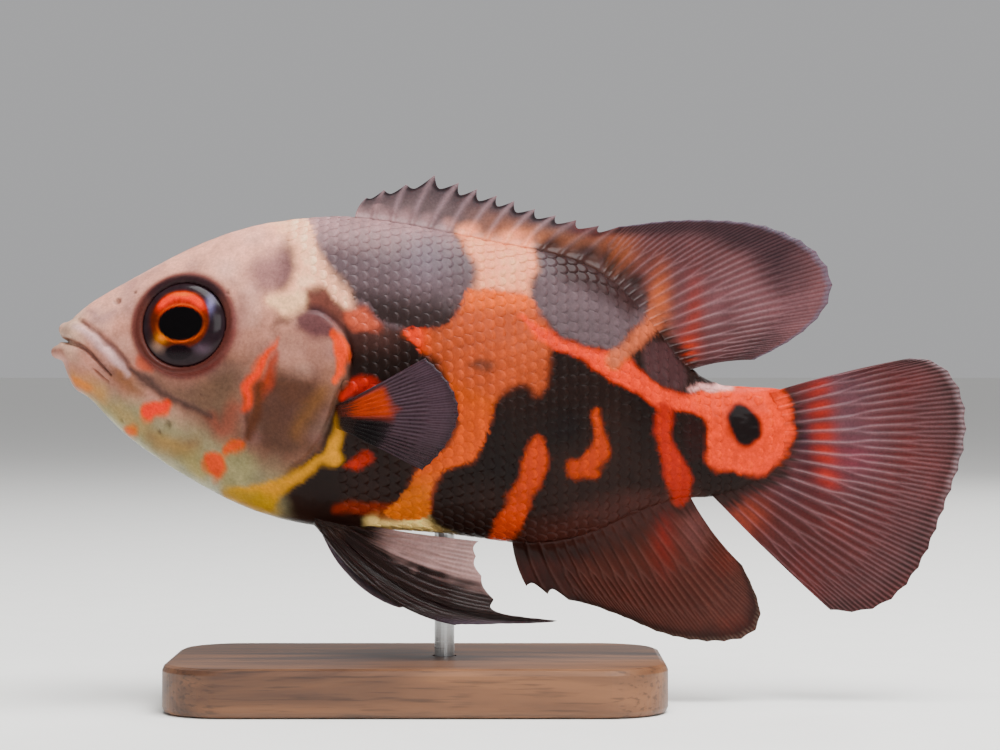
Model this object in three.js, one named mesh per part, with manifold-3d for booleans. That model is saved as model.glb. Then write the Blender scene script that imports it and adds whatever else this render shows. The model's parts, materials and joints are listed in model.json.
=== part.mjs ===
// A juvenile tiger oscar as a still, life-size display model on a plain stand, in millimetres, +Z up.
// The fish swims to the left, nose slightly up: its head is at -X, its tail at +X, its left side faces -Y.
// Inside the fish group, s is the distance behind the tip of the lower lip and z the height above the floor.
import * as THREE from "three";
import { mergeVertices } from "three/addons/utils/BufferGeometryUtils.js";
import Module from "manifold-3d";

const wasm = await Module();
wasm.setup();

// Driving dimensions
const TOTAL_LENGTH = 115.2;
const GAP = 0.3;
const BODY_START = 1.2;
const BODY_END = 96;
const FRONT_CAP = 2.2;
const REAR_CAP = 1.5;
const BODY_AROUND = 32;
const BODY_ALONG = 44;

// Body stations: distance s, height of back and belly, half width, share of the depth at which the body is
// widest, and how sharp the back and belly are (under 1 is full and square, over 1 is keeled).
const STATION_KEYS = ["s", "back", "belly", "half", "level", "backEdge", "bellyEdge"];
const STATIONS = [
  [1.2, 47.4, 41.4, 2.5, 0.55, 1.0, 0.9],
  [3.0, 48.8, 39.5, 3.6, 0.55, 1.0, 0.85],
  [5.0, 50.4, 38.2, 4.3, 0.55, 0.95, 0.8],
  [8.6, 52.5, 34.5, 5.1, 0.56, 0.9, 0.8],
  [13.0, 54.9, 31.1, 5.9, 0.56, 0.85, 0.8],
  [18.6, 57.7, 27.6, 6.7, 0.55, 0.85, 0.8],
  [24.9, 59.9, 24.5, 7.5, 0.52, 0.9, 0.8],
  [31.2, 60.9, 22.7, 8.2, 0.5, 1.0, 0.8],
  [37.5, 61.2, 22.0, 8.5, 0.49, 1.05, 0.8],
  [43.8, 60.5, 21.8, 8.4, 0.48, 1.1, 0.85],
  [50.1, 59.3, 21.3, 8.0, 0.48, 1.1, 0.9],
  [56.4, 58.0, 20.5, 7.2, 0.48, 1.1, 1.0],
  [62.1, 57.0, 20.0, 6.2, 0.48, 1.1, 1.1],
  [67.7, 55.2, 21.2, 5.1, 0.48, 1.1, 1.1],
  [72.1, 52.0, 23.0, 4.2, 0.49, 1.1, 1.1],
  [75.9, 47.6, 24.6, 3.5, 0.5, 1.05, 1.05],
  [79.7, 42.8, 25.7, 2.9, 0.5, 1.0, 1.0],
  [83.5, 40.3, 26.0, 2.3, 0.5, 1.0, 1.0],
  [87.2, 39.8, 26.0, 1.8, 0.5, 1.0, 1.0],
  [91.0, 39.6, 26.6, 1.3, 0.5, 1.0, 1.0],
  [96.0, 38.4, 28.4, 0.8, 0.5, 1.0, 1.0],
].map((row) => Object.fromEntries(STATION_KEYS.map((key, i) => [key, row[i]])));

// Thin cuts through the side view, as (s, z) points that a smooth line follows
const GILL_CUT = [[33.6, 64], [34.9, 54], [35.2, 46], [33.6, 38], [30.6, 32.5], [26.5, 29.6], [22.2, 27.6], [19.4, 23]];
const JAW_CUT = [[-3, 45.7], [1.4, 45.7], [2.8, 45.8], [4.7, 45], [6.3, 43.4], [7.8, 41.6], [10.9, 38.2], [12.8, 35], [12.2, 30]];
const PEDUNCLE_CUT = [[83, 44], [82.3, 38], [81.4, 30], [81, 22]];
const CAUDAL_BASE = [[91.1, 39.3], [92.6, 35.4], [92.2, 31.6], [90, 28.6], [86.8, 26.9], [83.6, 25.6]];
const CAUDAL_CUT = [[90, 43], ...CAUDAL_BASE, [81.8, 22.6]];

// Gill cover: its outline in the side view, how far its free rear edge stands proud, and its thickness
const GILL_COVER = [
  [28.9, 46.9], [31.4, 48.8], [34, 49], [36.3, 47.3], [37.8, 44.3], [37.2, 41.4], [36.1, 38.6], [35.2, 35.9],
  [33.9, 33.1], [31.8, 30.7], [28.8, 29], [25.4, 28.2], [22.6, 28.5], [23.8, 31], [24.6, 34], [24.1, 37.9],
  [25.1, 41.4], [26.8, 44.4],
];
const GILL_PROUD = 0.5;
const GILL_THICK = 1.3;

// Eye: orbit centre in the side view, radius, bulge of the cornea, depth behind the rim, and its outward tilt
const EYE = { s: 17.4, z: 47.5, radius: 5.25, bulge: 1.6, depth: 2.6, sunk: 0.5, up: 13, forward: 8 };
const RIM_TUBE = 0.62;
const NOSTRIL = { s: 9.2, z: 50.2, radius: 0.5 };

// Lips as (s, z, radius) down from the front of the mouth to its corner
const UPPER_LIP = [[1.7, 46.9, 1.05], [3.5, 46.6, 1.0], [5.7, 45.6, 0.9], [7.2, 43.9, 0.85], [8.7, 42.1, 0.75], [9.6, 41.2, 0.5]];
const LOWER_LIP = [[0.92, 44.3, 1.15], [2.4, 44.4, 1.05], [4.4, 43.8, 0.85], [6.1, 42.4, 0.7], [7.4, 41.2, 0.5]];

// Fins: counts of spines and soft rays, half thickness of rays at root and margin, and of the membrane
const FIN = { spineRoot: 0.55, rayRoot: 0.46, rayTip: 0.27, membrane: 0.25, rows: 6 };
const DORSAL = { spines: 13, rays: 19, from: 38.2, join: 68.8, to: 80.6 };
const DORSAL_TIPS = [
  [39.6, 63.6], [41.8, 64.6], [44.6, 65.3], [48.2, 66.5], [51.2, 65.5], [53.5, 64.7], [56, 63.9], [58.2, 63.2],
  [60.8, 62.2], [63.4, 61.4], [66, 60.8], [68.9, 60.1], [71.4, 60],
];
const DORSAL_MARGIN = [
  [73.2, 60.2], [77, 60.7], [81.6, 60.9], [86.6, 60.7], [90.4, 60], [94.2, 58.4], [96.9, 56.2], [98.3, 53.2],
  [97.6, 50], [95.4, 47.4], [92.3, 45.2], [88.4, 43.2],
];
const ANAL = { spines: 3, rays: 15, from: 57.9, join: 63.2, to: 80.4 };
const ANAL_TIPS = [[59.7, 14.7], [62.4, 13.7], [65, 13]];
const ANAL_MARGIN = [
  [68, 12.3], [72.6, 10.6], [76, 9.1], [80.3, 8], [84.2, 7.8], [87.2, 8.3], [88.9, 9.8], [89.1, 12],
  [88.2, 14.6], [86.9, 17.3],
];
const CAUDAL = { rays: 17 };
const CAUDAL_MARGIN = [
  [108, 43.4], [111.2, 43], [113.5, 41.1], [114.9, 38.2], [115.25, 34.4], [114.7, 31], [113.5, 27.6], [112, 23.8],
  [109.9, 18.8], [107.4, 14.9], [104.6, 12.5], [101.4, 11.5], [98, 11.7],
];

// Pectoral fin: root lobe, fan of the rays in the side view in degrees, lengths and how far it stands out
const PECTORAL = { s: 37.6, z: 36.2, lobe: [1.5, 1.5, 2.5], rays: 13, upper: 33, lower: -31, spread: 25 };
const PECTORAL_LENGTHS = [11.9, 13.3, 14, 13.9, 12.8, 11.2];

// Pelvic fins: each ray's tip as (s, y outward, z) and how far its middle bends in s and z, from the leading
// spine to the innermost ray. The left one sweeps back to a long filament, the right one hangs steeper.
const PELVIC_ROOT = { from: 33.2, to: 37.6, y: 2.3, lift: 0.6 };
const LEFT_PELVIC = [
  [50.9, 7.6, 10.5, -1.6, -4.4], [63.4, 7.4, 11, -2.2, -7.2], [56.2, 6.8, 12.8, -1.4, -3.4],
  [54.6, 6, 15, -1, -2], [53.2, 5, 17.9, -0.6, -1], [51.8, 4, 20.2, -0.4, -0.6],
];
const RIGHT_PELVIC = [
  [43.4, 9.6, 11.2, -2.2, -3.4], [46.9, 9.4, 11.5, -1.8, -3.2], [48.6, 8.6, 12.6, -1.2, -2.4],
  [49, 7.3, 14.6, -0.8, -1.5], [48.4, 5.8, 17, -0.6, -1], [47, 4.4, 19.4, -0.4, -0.6],
];

// Stand
const BASE = { s: 46, length: 62, width: 34, height: 6, corner: 8, bevel: 0.8 };
const ROD = { s: 49.4, radius: 1.25, sunk: 2.5, intoBelly: 1.4 };

// Colours
const PALE_FLESH = 0xc79a8c;
const DARK_FLESH = 0x6a4a48;
const ORANGE = 0xd9642c;
const DUSKY_FIN = 0x7a4643;
const EYE_BLACK = 0x1b1214;
const WALNUT = 0x5b3a26;
const STEEL = 0xb9bcc0;

const material = (color, roughness, metalness = 0) => new THREE.MeshStandardMaterial({ color, roughness, metalness });
const V = (x, y, z) => new THREE.Vector3(x, y, z);
const side = (points) => points.map(([s, z]) => V(s, 0, z));
const smoothLine = (points) => new THREE.CatmullRomCurve3(side(points), false, "centripetal");
const smoothstep = (a, b, x) => THREE.MathUtils.smoothstep(x, a, b);

// Solids and geometry

function solidOf(geometry) {
  const bare = new THREE.BufferGeometry().setAttribute("position", geometry.getAttribute("position"));
  if (geometry.index) bare.setIndex(geometry.index);
  const merged = mergeVertices(bare, 1e-4);
  const build = () =>
    new wasm.Manifold(
      new wasm.Mesh({
        numProp: 3,
        vertProperties: merged.attributes.position.array,
        triVerts: new Uint32Array(merged.index.array),
      }),
    );
  if (build().volume() > 0) return build();
  const index = merged.index.array;
  for (let i = 0; i < index.length; i += 3) [index[i + 1], index[i + 2]] = [index[i + 2], index[i + 1]];
  return build();
}

function geometryOf(solid) {
  const mesh = solid.getMesh();
  const geometry = new THREE.BufferGeometry();
  geometry.setAttribute("position", new THREE.BufferAttribute(new Float32Array(mesh.vertProperties), 3));
  geometry.setIndex(new THREE.BufferAttribute(new Uint32Array(mesh.triVerts), 1));
  geometry.computeVertexNormals();
  return geometry;
}

function largest(solid) {
  return solid.decompose().reduce((a, b) => (b.volume() > a.volume() ? b : a));
}

// A unit sphere whose every vertex is moved to pointAt(t, angle), so the form is closed at both ends.
function wrapped(pointAt, around, along) {
  const sphere = new THREE.SphereGeometry(1, around, along);
  const { position, uv } = sphere.attributes;
  for (let i = 0; i < position.count; i++) {
    const t = 1 - uv.getY(i);
    const onPole = t < 1e-6 || t > 1 - 1e-6;
    const angle = onPole ? 0 : 2 * Math.PI * (uv.getX(i) % 1);
    position.setXYZ(i, ...pointAt(t, angle).toArray());
  }
  return sphere;
}

// Body form

// One value of the stations at distance s, on a smooth curve through them.
function along(key, s) {
  const i = Math.max(0, STATIONS.findLastIndex((row, j) => row.s <= s && j < STATIONS.length - 1));
  const row = (j) => STATIONS[Math.min(STATIONS.length - 1, Math.max(0, j))];
  const [a, b] = [row(i), row(i + 1)];
  const slope = (j) => (row(j + 1)[key] - row(j - 1)[key]) / (row(j + 1).s - row(j - 1).s);
  const h = b.s - a.s;
  const t = THREE.MathUtils.clamp((s - a.s) / h, 0, 1);
  const rise = (1 - t) ** 2 * (a[key] * (1 + 2 * t) + slope(i) * h * t);
  return rise + t ** 2 * (b[key] * (3 - 2 * t) - slope(i + 1) * h * (1 - t));
}

// The body's section at s, grown outward by grow, and rounded off at both ends.
function sectionAt(s, grow = 0) {
  const clamped = THREE.MathUtils.clamp(s, BODY_START, BODY_END);
  const back = along("back", clamped);
  const belly = along("belly", clamped);
  const nose = THREE.MathUtils.clamp((s - BODY_START + grow) / FRONT_CAP, 0, 1);
  const end = THREE.MathUtils.clamp((BODY_END - s + grow) / REAR_CAP, 0, 1);
  const round = Math.sqrt(nose * (2 - nose)) * Math.sqrt(end * (2 - end));
  const middle = belly + (back - belly) * along("level", clamped);
  return {
    middle,
    up: (back + grow - middle) * round,
    down: (middle - belly + grow) * round,
    half: (along("half", clamped) + grow) * round,
    backEdge: along("backEdge", clamped),
    bellyEdge: along("bellyEdge", clamped),
  };
}

// The skin at s and an angle that starts at the back and runs down the right side (+Y).
function bodyPoint(s, angle, grow = 0) {
  const section = sectionAt(s, grow);
  const upper = Math.cos(angle) >= 0;
  const sharp = upper ? section.backEdge : section.bellyEdge;
  const sine = Math.sin(angle);
  const y = section.half * Math.sign(sine) * Math.abs(sine) ** sharp;
  return V(s, y, section.middle + (upper ? section.up : section.down) * Math.cos(angle));
}

// How far out from the middle plane the skin lies at a place of the side view.
function flank(s, z) {
  const section = sectionAt(s);
  const reach = z > section.middle ? section.up : section.down;
  const cosine = THREE.MathUtils.clamp((z - section.middle) / reach, -1, 1);
  return section.half * Math.sqrt(1 - cosine * cosine) ** (z > section.middle ? section.backEdge : section.bellyEdge);
}

// The whole body, with grow a number or a function of s.
function bodySolid(grow = 0) {
  const growAt = typeof grow === "function" ? grow : () => grow;
  const ends = growAt(BODY_START);
  const from = BODY_START - ends;
  const to = BODY_END + growAt(BODY_END);
  const place = (t) => {
    const eased = t < 0.5 ? t ** 1.25 / 0.5 ** 0.25 : t;
    return THREE.MathUtils.lerp(from, to, t * 0.25 + eased * 0.75);
  };
  return solidOf(wrapped((t, angle) => bodyPoint(place(t), angle, growAt(place(t))), BODY_AROUND, BODY_ALONG));
}

// Side-view prisms and cuts

function prism(points, yFrom = -20, yTo = 20) {
  const shape = new THREE.Shape(points.map((p) => new THREE.Vector2(p.x, p.z)));
  const slab = new THREE.ExtrudeGeometry(shape, { depth: yTo - yFrom, bevelEnabled: false });
  slab.rotateX(Math.PI / 2).translate(0, yTo, 0);
  return solidOf(slab);
}

// A smooth line's points, moved sideways by shift in the side view.
function shifted(curve, shift, count) {
  return Array.from({ length: count + 1 }, (_, i) => {
    const tangent = curve.getTangent(i / count);
    return curve.getPoint(i / count).add(V(-tangent.z, 0, tangent.x).multiplyScalar(shift));
  });
}

// Cuts a solid along a smooth line with a slot one gap wide, and returns its two larger pieces, front one first.
function cutAlong(solid, line) {
  const curve = smoothLine(line);
  const slot = prism([...shifted(curve, GAP / 2, 18), ...shifted(curve, -GAP / 2, 18).reverse()]);
  const middle = (piece) => (piece.boundingBox().min[0] + piece.boundingBox().max[0]) / 2;
  const pieces = solid.subtract(slot).decompose().sort((a, b) => b.volume() - a.volume());
  return pieces.slice(0, 2).sort((a, b) => middle(a) - middle(b));
}

// Head details

// A lip: a tube that runs round the front of the mouth from corner to corner, just under the skin's line.
function lip(half) {
  const out = ([s, z, radius], sign) => V(s, sign * Math.max(0, flank(s, z) - 0.45 * radius), z);
  const [front, ...rest] = half;
  const nose = V(front[0], 0, front[1]);
  const left = rest.map((row) => out(row, -1)).reverse();
  const right = rest.map((row) => out(row, 1));
  const curve = new THREE.CatmullRomCurve3([...left, nose, ...right], false, "centripetal");
  const radii = [...rest.map((row) => row[2]).reverse(), front[2], ...rest.map((row) => row[2])];
  const tube = (t, angle) => {
    const place = t * (radii.length - 1);
    const i = Math.min(radii.length - 2, Math.floor(place));
    const end = Math.min(1, 8 * Math.min(t, 1 - t));
    const radius = THREE.MathUtils.lerp(radii[i], radii[i + 1], place - i) * Math.sqrt(end * (2 - end));
    const tangent = curve.getTangent(t);
    const across = V(0, 0, 1).cross(tangent).normalize();
    const upward = tangent.clone().cross(across);
    const ring = across.multiplyScalar(0.8 * Math.cos(angle)).add(upward.multiplyScalar(Math.sin(angle)));
    return curve.getPoint(t).add(ring.multiplyScalar(radius));
  };
  return solidOf(wrapped(tube, 8, 24));
}

// The eye's own frame: local +Y points out of the head on one side, -1 for the left and 1 for the right.
function eyeFrame(sign) {
  const up = THREE.MathUtils.degToRad(EYE.up);
  const forward = THREE.MathUtils.degToRad(EYE.forward);
  const outward = V(-Math.sin(forward), sign * Math.cos(forward) * Math.cos(up), Math.sin(up)).normalize();
  const turn = new THREE.Quaternion().setFromUnitVectors(V(0, 1, 0), outward);
  const y = sign * (flank(EYE.s, EYE.z) - EYE.sunk);
  return new THREE.Matrix4().compose(V(EYE.s, y, EYE.z), turn, V(1, 1, 1));
}

// A lens turned round its own axis: a low dome in front of the rim and a deeper bowl behind it.
function eyeball(sign, grow = 0) {
  const steps = 6;
  const profile = Array.from({ length: 2 * steps + 1 }, (_, i) => {
    const angle = (Math.PI * i) / (2 * steps) - Math.PI / 2;
    const reach = (angle > 0 ? EYE.bulge : EYE.depth) + grow;
    return new THREE.Vector2((EYE.radius + grow) * Math.cos(angle), reach * Math.sin(angle));
  });
  profile[0].x = 0;
  profile[2 * steps].x = 0;
  return solidOf(new THREE.LatheGeometry(profile, 20).applyMatrix4(eyeFrame(sign)));
}

// The fleshy rim round the orbit.
function orbitRim(sign) {
  const ring = new THREE.TorusGeometry(EYE.radius + GAP + 0.75 * RIM_TUBE, RIM_TUBE, 8, 24);
  return solidOf(ring.rotateX(Math.PI / 2).applyMatrix4(eyeFrame(sign)));
}

function nostril(sign) {
  const pit = new THREE.SphereGeometry(NOSTRIL.radius, 10, 8);
  return solidOf(pit.translate(NOSTRIL.s, sign * flank(NOSTRIL.s, NOSTRIL.z), NOSTRIL.z));
}

// A gill cover plate lies in a pocket of the head and shoulder; its rear edge stands free and proud.
const gillOutline = new THREE.CatmullRomCurve3(side(GILL_COVER), true, "centripetal").getPoints(36).slice(0, -1);
const gillPrism = (sign, grow) => {
  const centre = gillOutline.reduce((sum, p) => sum.add(p), V(0, 0, 0)).divideScalar(gillOutline.length);
  const outline = gillOutline.map((p) => p.clone().add(p.clone().sub(centre).setLength(grow)));
  return prism(outline, sign < 0 ? -20 : 1, sign < 0 ? -1 : 20);
};
const gillRaise = (s) => GILL_PROUD * smoothstep(25, 36, s);
const gillRoof = bodySolid(gillRaise);
const gillFloor = bodySolid(-GILL_THICK);
const pocketFloor = bodySolid(-GILL_THICK - GAP);
const gillCover = (sign) => largest(gillRoof.intersect(gillPrism(sign, 0)).subtract(gillFloor));
const gillPocket = (sign) => gillPrism(sign, GAP).subtract(pocketFloor);

// Fins

// A fin as one closed sheet. Each ray is {root, tip, bend, half}: a curve from root to tip whose middle is moved by
// bend, and the ray's half thickness at its root. A ridge runs along each ray, and between two rays the
// membrane is thin and ends short of their tips by notch, a share of its length.
function finSolid(rays, rows, notch) {
  const columns = [];
  rays.forEach((ray, i) => {
    const spot = (r, v) => {
      const middle = r.root.clone().add(r.tip).multiplyScalar(0.5).add(r.bend);
      return new THREE.QuadraticBezierCurve3(r.root, middle, r.tip).getPoint(v);
    };
    if (i > 0) {
      const before = rays[i - 1];
      const short = 1 - (typeof notch === "function" ? notch(i) : notch);
      columns.push({
        at: (v) => spot(before, v * short).lerp(spot(ray, v * short), 0.5),
        half: () => FIN.membrane,
      });
    }
    columns.push({ at: (v) => spot(ray, v), half: (v) => THREE.MathUtils.lerp(ray.half, FIN.rayTip, v) });
  });
  const middle = columns.map((column) => Array.from({ length: rows + 1 }, (_, j) => column.at(j / rows)));
  const grid = columns.map((column, i) => {
    const outward = V(0, 0, 0);
    for (let j = 0; j < rows; j++) {
      const acrossFin = middle[Math.min(i + 1, columns.length - 1)][j].clone().sub(middle[Math.max(i - 1, 0)][j]);
      outward.add(acrossFin.cross(middle[i][j + 1].clone().sub(middle[i][j])));
    }
    outward.normalize();
    return middle[i].map((point, j) => {
      const reach = outward.clone().multiplyScalar(column.half(j / rows));
      return [point.clone().add(reach), point.clone().sub(reach)];
    });
  });
  const points = [];
  const triangles = [];
  const id = (i, j, face) => 2 * (i * (rows + 1) + j) + face;
  grid.flat().forEach(([front, back]) => points.push(...front.toArray(), ...back.toArray()));
  const strip = (a, b) => triangles.push([a[0], b[0], a[1]], [b[0], b[1], a[1]]);
  const last = columns.length - 1;
  for (let i = 0; i < last; i++) {
    for (let j = 0; j < rows; j++) {
      const quad = (face) => [id(i, j, face), id(i + 1, j, face), id(i + 1, j + 1, face), id(i, j + 1, face)];
      const [a, b, c, d] = quad(0);
      const [e, f, g, h] = quad(1);
      triangles.push([a, b, c], [a, c, d], [e, g, f], [e, h, g]);
    }
    strip([id(i + 1, 0, 0), id(i + 1, 0, 1)], [id(i, 0, 0), id(i, 0, 1)]);
    strip([id(i, rows, 0), id(i, rows, 1)], [id(i + 1, rows, 0), id(i + 1, rows, 1)]);
  }
  for (let j = 0; j < rows; j++) {
    strip([id(0, j, 0), id(0, j, 1)], [id(0, j + 1, 0), id(0, j + 1, 1)]);
    strip([id(last, j + 1, 0), id(last, j + 1, 1)], [id(last, j, 0), id(last, j, 1)]);
  }
  const sheet = new THREE.BufferGeometry();
  sheet.setAttribute("position", new THREE.Float32BufferAttribute(points, 3));
  sheet.setIndex(triangles.flat());
  return solidOf(sheet);
}

// A point one gap clear of the back (sign 1) or the belly (sign -1) at distance s.
function offOutline(s, sign) {
  const edge = (x) => sectionAt(x).middle + (sign > 0 ? sectionAt(x).up : -sectionAt(x).down);
  const tangent = V(0.2, 0, edge(s + 0.1) - edge(s - 0.1)).normalize();
  return V(s, 0, edge(s)).add(V(-tangent.z, 0, tangent.x).multiplyScalar(sign * GAP));
}

// Spines with their own tips, then soft rays that share a smooth margin. side is 1 on the back, -1 on the belly.
function medianFin({ spines, rays, from, join, to }, tips, margin, sign, sway) {
  const edge = smoothLine(margin);
  const list = [];
  for (let i = 0; i < spines; i++) {
    const s = THREE.MathUtils.lerp(from, join, i / spines);
    list.push({ root: offOutline(s, sign), tip: V(tips[i][0], 0, tips[i][1]), bend: V(-0.5, 0, 0.3 * sign), half: FIN.spineRoot });
  }
  for (let i = 0; i < rays; i++) {
    const share = i / (rays - 1);
    const tip = edge.getPointAt(share).add(V(0, sway * Math.sin(Math.PI * share), 0));
    const bend = V(-0.6, sway * 0.1, 0.6 * sign);
    list.push({ root: offOutline(THREE.MathUtils.lerp(join, to, share), sign), tip, bend, half: FIN.rayRoot });
  }
  return finSolid(list, FIN.rows, (i) => (i < spines ? 0.16 : 0.03));
}

function caudalFin() {
  const roots = shifted(smoothLine(CAUDAL_BASE), GAP / 2, CAUDAL.rays - 1);
  const margin = smoothLine(CAUDAL_MARGIN);
  const list = Array.from({ length: CAUDAL.rays }, (_, i) => {
    const share = i / (CAUDAL.rays - 1);
    const tip = margin.getPointAt(share).add(V(0, 0.9 * Math.sin(2 * Math.PI * share), 0));
    return { root: roots[i], tip, bend: V(0, 0, 0.5 - share), half: 0.55 };
  });
  return finSolid(list, FIN.rows + 1, 0.03);
}

const lobe = (sign, grow = 0) => {
  const [along1, out, tall] = PECTORAL.lobe.map((r) => r + grow);
  const ball = new THREE.SphereGeometry(1, 16, 10).scale(along1, out, tall);
  return solidOf(ball.translate(PECTORAL.s, sign * (flank(PECTORAL.s, PECTORAL.z) - 0.5), PECTORAL.z));
};

function pectoralFin(sign) {
  const rootY = flank(PECTORAL.s, PECTORAL.z);
  const lengths = new THREE.CatmullRomCurve3(PECTORAL_LENGTHS.map((l, i) => V(l, i, 0)));
  const spread = Math.tan(THREE.MathUtils.degToRad(PECTORAL.spread));
  const list = Array.from({ length: PECTORAL.rays }, (_, i) => {
    const share = i / (PECTORAL.rays - 1);
    const angle = THREE.MathUtils.degToRad(THREE.MathUtils.lerp(PECTORAL.upper, PECTORAL.lower, share));
    const length = lengths.getPoint(share).x;
    const height = THREE.MathUtils.lerp(1.7, -1.7, share);
    const root = V(PECTORAL.s - 0.2, sign * (rootY + 0.2), PECTORAL.z + height);
    const lateral = length * spread * (0.9 + 0.2 * Math.sin(Math.PI * share));
    const tip = V(root.x + length * Math.cos(angle), sign * (rootY + lateral), PECTORAL.z + height * 0.4 + length * Math.sin(angle));
    return { root, tip, bend: V(0, sign * 1.1, 0), half: i ? 0.42 : 0.5 };
  });
  return finSolid(list, FIN.rows, 0.03);
}

function pelvicFin(sign, tips) {
  const list = tips.map(([s, y, z, back, down], i) => {
    const share = i / (tips.length - 1);
    const rootS = THREE.MathUtils.lerp(PELVIC_ROOT.from, PELVIC_ROOT.to, share);
    const rootY = THREE.MathUtils.lerp(PELVIC_ROOT.y + 0.5, PELVIC_ROOT.y - 0.4, share);
    const skin = sectionAt(rootS).middle - sectionAt(rootS).down;
    const root = V(rootS, sign * rootY, skin + PELVIC_ROOT.lift);
    return { root, tip: V(s, sign * y, z), bend: V(back, sign * 0.8, down), half: i ? 0.42 : 0.5 };
  });
  return finSolid(list, FIN.rows + 2, 0.06);
}

// Stand

function standBase() {
  const { length, width, height, corner, bevel } = BASE;
  const [x, y, r] = [length / 2 - bevel, width / 2 - bevel, corner - bevel];
  const outline = new THREE.Shape();
  outline.absarc(x - r, y - r, r, 0, Math.PI / 2);
  outline.absarc(r - x, y - r, r, Math.PI / 2, Math.PI);
  outline.absarc(r - x, r - y, r, Math.PI, 1.5 * Math.PI);
  outline.absarc(x - r, r - y, r, 1.5 * Math.PI, 2 * Math.PI);
  const options = { depth: height - 2 * bevel, bevelSize: bevel, bevelThickness: bevel, bevelSegments: 2, curveSegments: 8 };
  return solidOf(new THREE.ExtrudeGeometry(outline, options).translate(BASE.s, 0, bevel));
}

function rod(grow = 0) {
  const bottom = BASE.height - ROD.sunk - grow;
  const belly = sectionAt(ROD.s).middle - sectionAt(ROD.s).down;
  const length = belly + ROD.intoBelly + grow - bottom;
  const shaft = new THREE.CylinderGeometry(ROD.radius + grow, ROD.radius + grow, length, 20);
  return solidOf(shaft.rotateX(Math.PI / 2).translate(ROD.s, 0, bottom + length / 2));
}

// Assembly

const sides = { left: -1, right: 1 };
const both = Object.values(sides);
const whole = both.reduce(
  (body, sign) => body.add(orbitRim(sign)).subtract(eyeball(sign, GAP)).subtract(nostril(sign)),
  bodySolid().add(lip(UPPER_LIP)).add(lip(LOWER_LIP)),
);
const [headWhole, behindHead] = cutAlong(whole, GILL_CUT);
const [lowerJaw, head] = cutAlong(headWhole, JAW_CUT);
const [trunkWhole, peduncleWhole] = cutAlong(behindHead, PEDUNCLE_CUT);
const [tailBase] = cutAlong(peduncleWhole, CAUDAL_CUT);
const pockets = both.map(gillPocket);
const clearOfPockets = (solid) => pockets.reduce((left, pocket) => left.subtract(pocket), solid);
const trunk = clearOfPockets(both.reduce((body, sign) => body.add(lobe(sign)), trunkWhole)).subtract(rod(GAP));
const fleshClear = bodySolid(GAP);
const rooted = (fin) => largest(both.reduce((left, sign) => left.subtract(lobe(sign, GAP)), fin.subtract(fleshClear)));

const pale = material(PALE_FLESH, 0.45);
const dark = material(DARK_FLESH, 0.45);
const orange = material(ORANGE, 0.45);
const finDark = material(DUSKY_FIN, 0.5);
const nodes = [
  ["head", largest(clearOfPockets(head)), pale],
  ["lower_jaw", largest(clearOfPockets(lowerJaw)), pale],
  ["trunk", largest(trunk), dark],
  ["tail_base", largest(tailBase), orange],
  ["dorsal_fin", medianFin(DORSAL, DORSAL_TIPS, DORSAL_MARGIN, 1, 0.8), finDark],
  ["anal_fin", medianFin(ANAL, ANAL_TIPS, ANAL_MARGIN, -1, -0.7), finDark],
  ["caudal_fin", caudalFin(), finDark],
  ["pelvic_fin_left", rooted(pelvicFin(sides.left, LEFT_PELVIC)), finDark],
  ["pelvic_fin_right", rooted(pelvicFin(sides.right, RIGHT_PELVIC)), finDark],
  ["stand_base", standBase().subtract(rod(GAP)), material(WALNUT, 0.5)],
  ["stand_rod", rod(), material(STEEL, 0.3, 1)],
];
for (const [name, sign] of Object.entries(sides)) {
  nodes.push(["gill_cover_" + name, gillCover(sign), pale]);
  nodes.push(["eye_" + name, eyeball(sign), material(EYE_BLACK, 0.1)]);
  nodes.push(["pectoral_fin_" + name, rooted(pectoralFin(sign)), finDark]);
}

const fish = new THREE.Group();
fish.position.x = -TOTAL_LENGTH / 2;
for (const [name, solid, finish] of nodes) {
  const mesh = new THREE.Mesh(geometryOf(solid), finish);
  mesh.name = name;
  fish.add(mesh);
}
const model = new THREE.Group();
model.add(fish);

export default model;
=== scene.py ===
# %% [markdown]
# # A juvenile tiger oscar as a life-size display model
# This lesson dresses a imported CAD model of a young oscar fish. The CAD solids give the true outline and size.
# Here they get one seamless skin, overlapping scales, ribbed fins, wet eyes, and a finish for the stand.
# Everything is in metres in Blender, and in millimetres in the tables below.

# %% The frame and its box
import itertools
import json
import math

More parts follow.
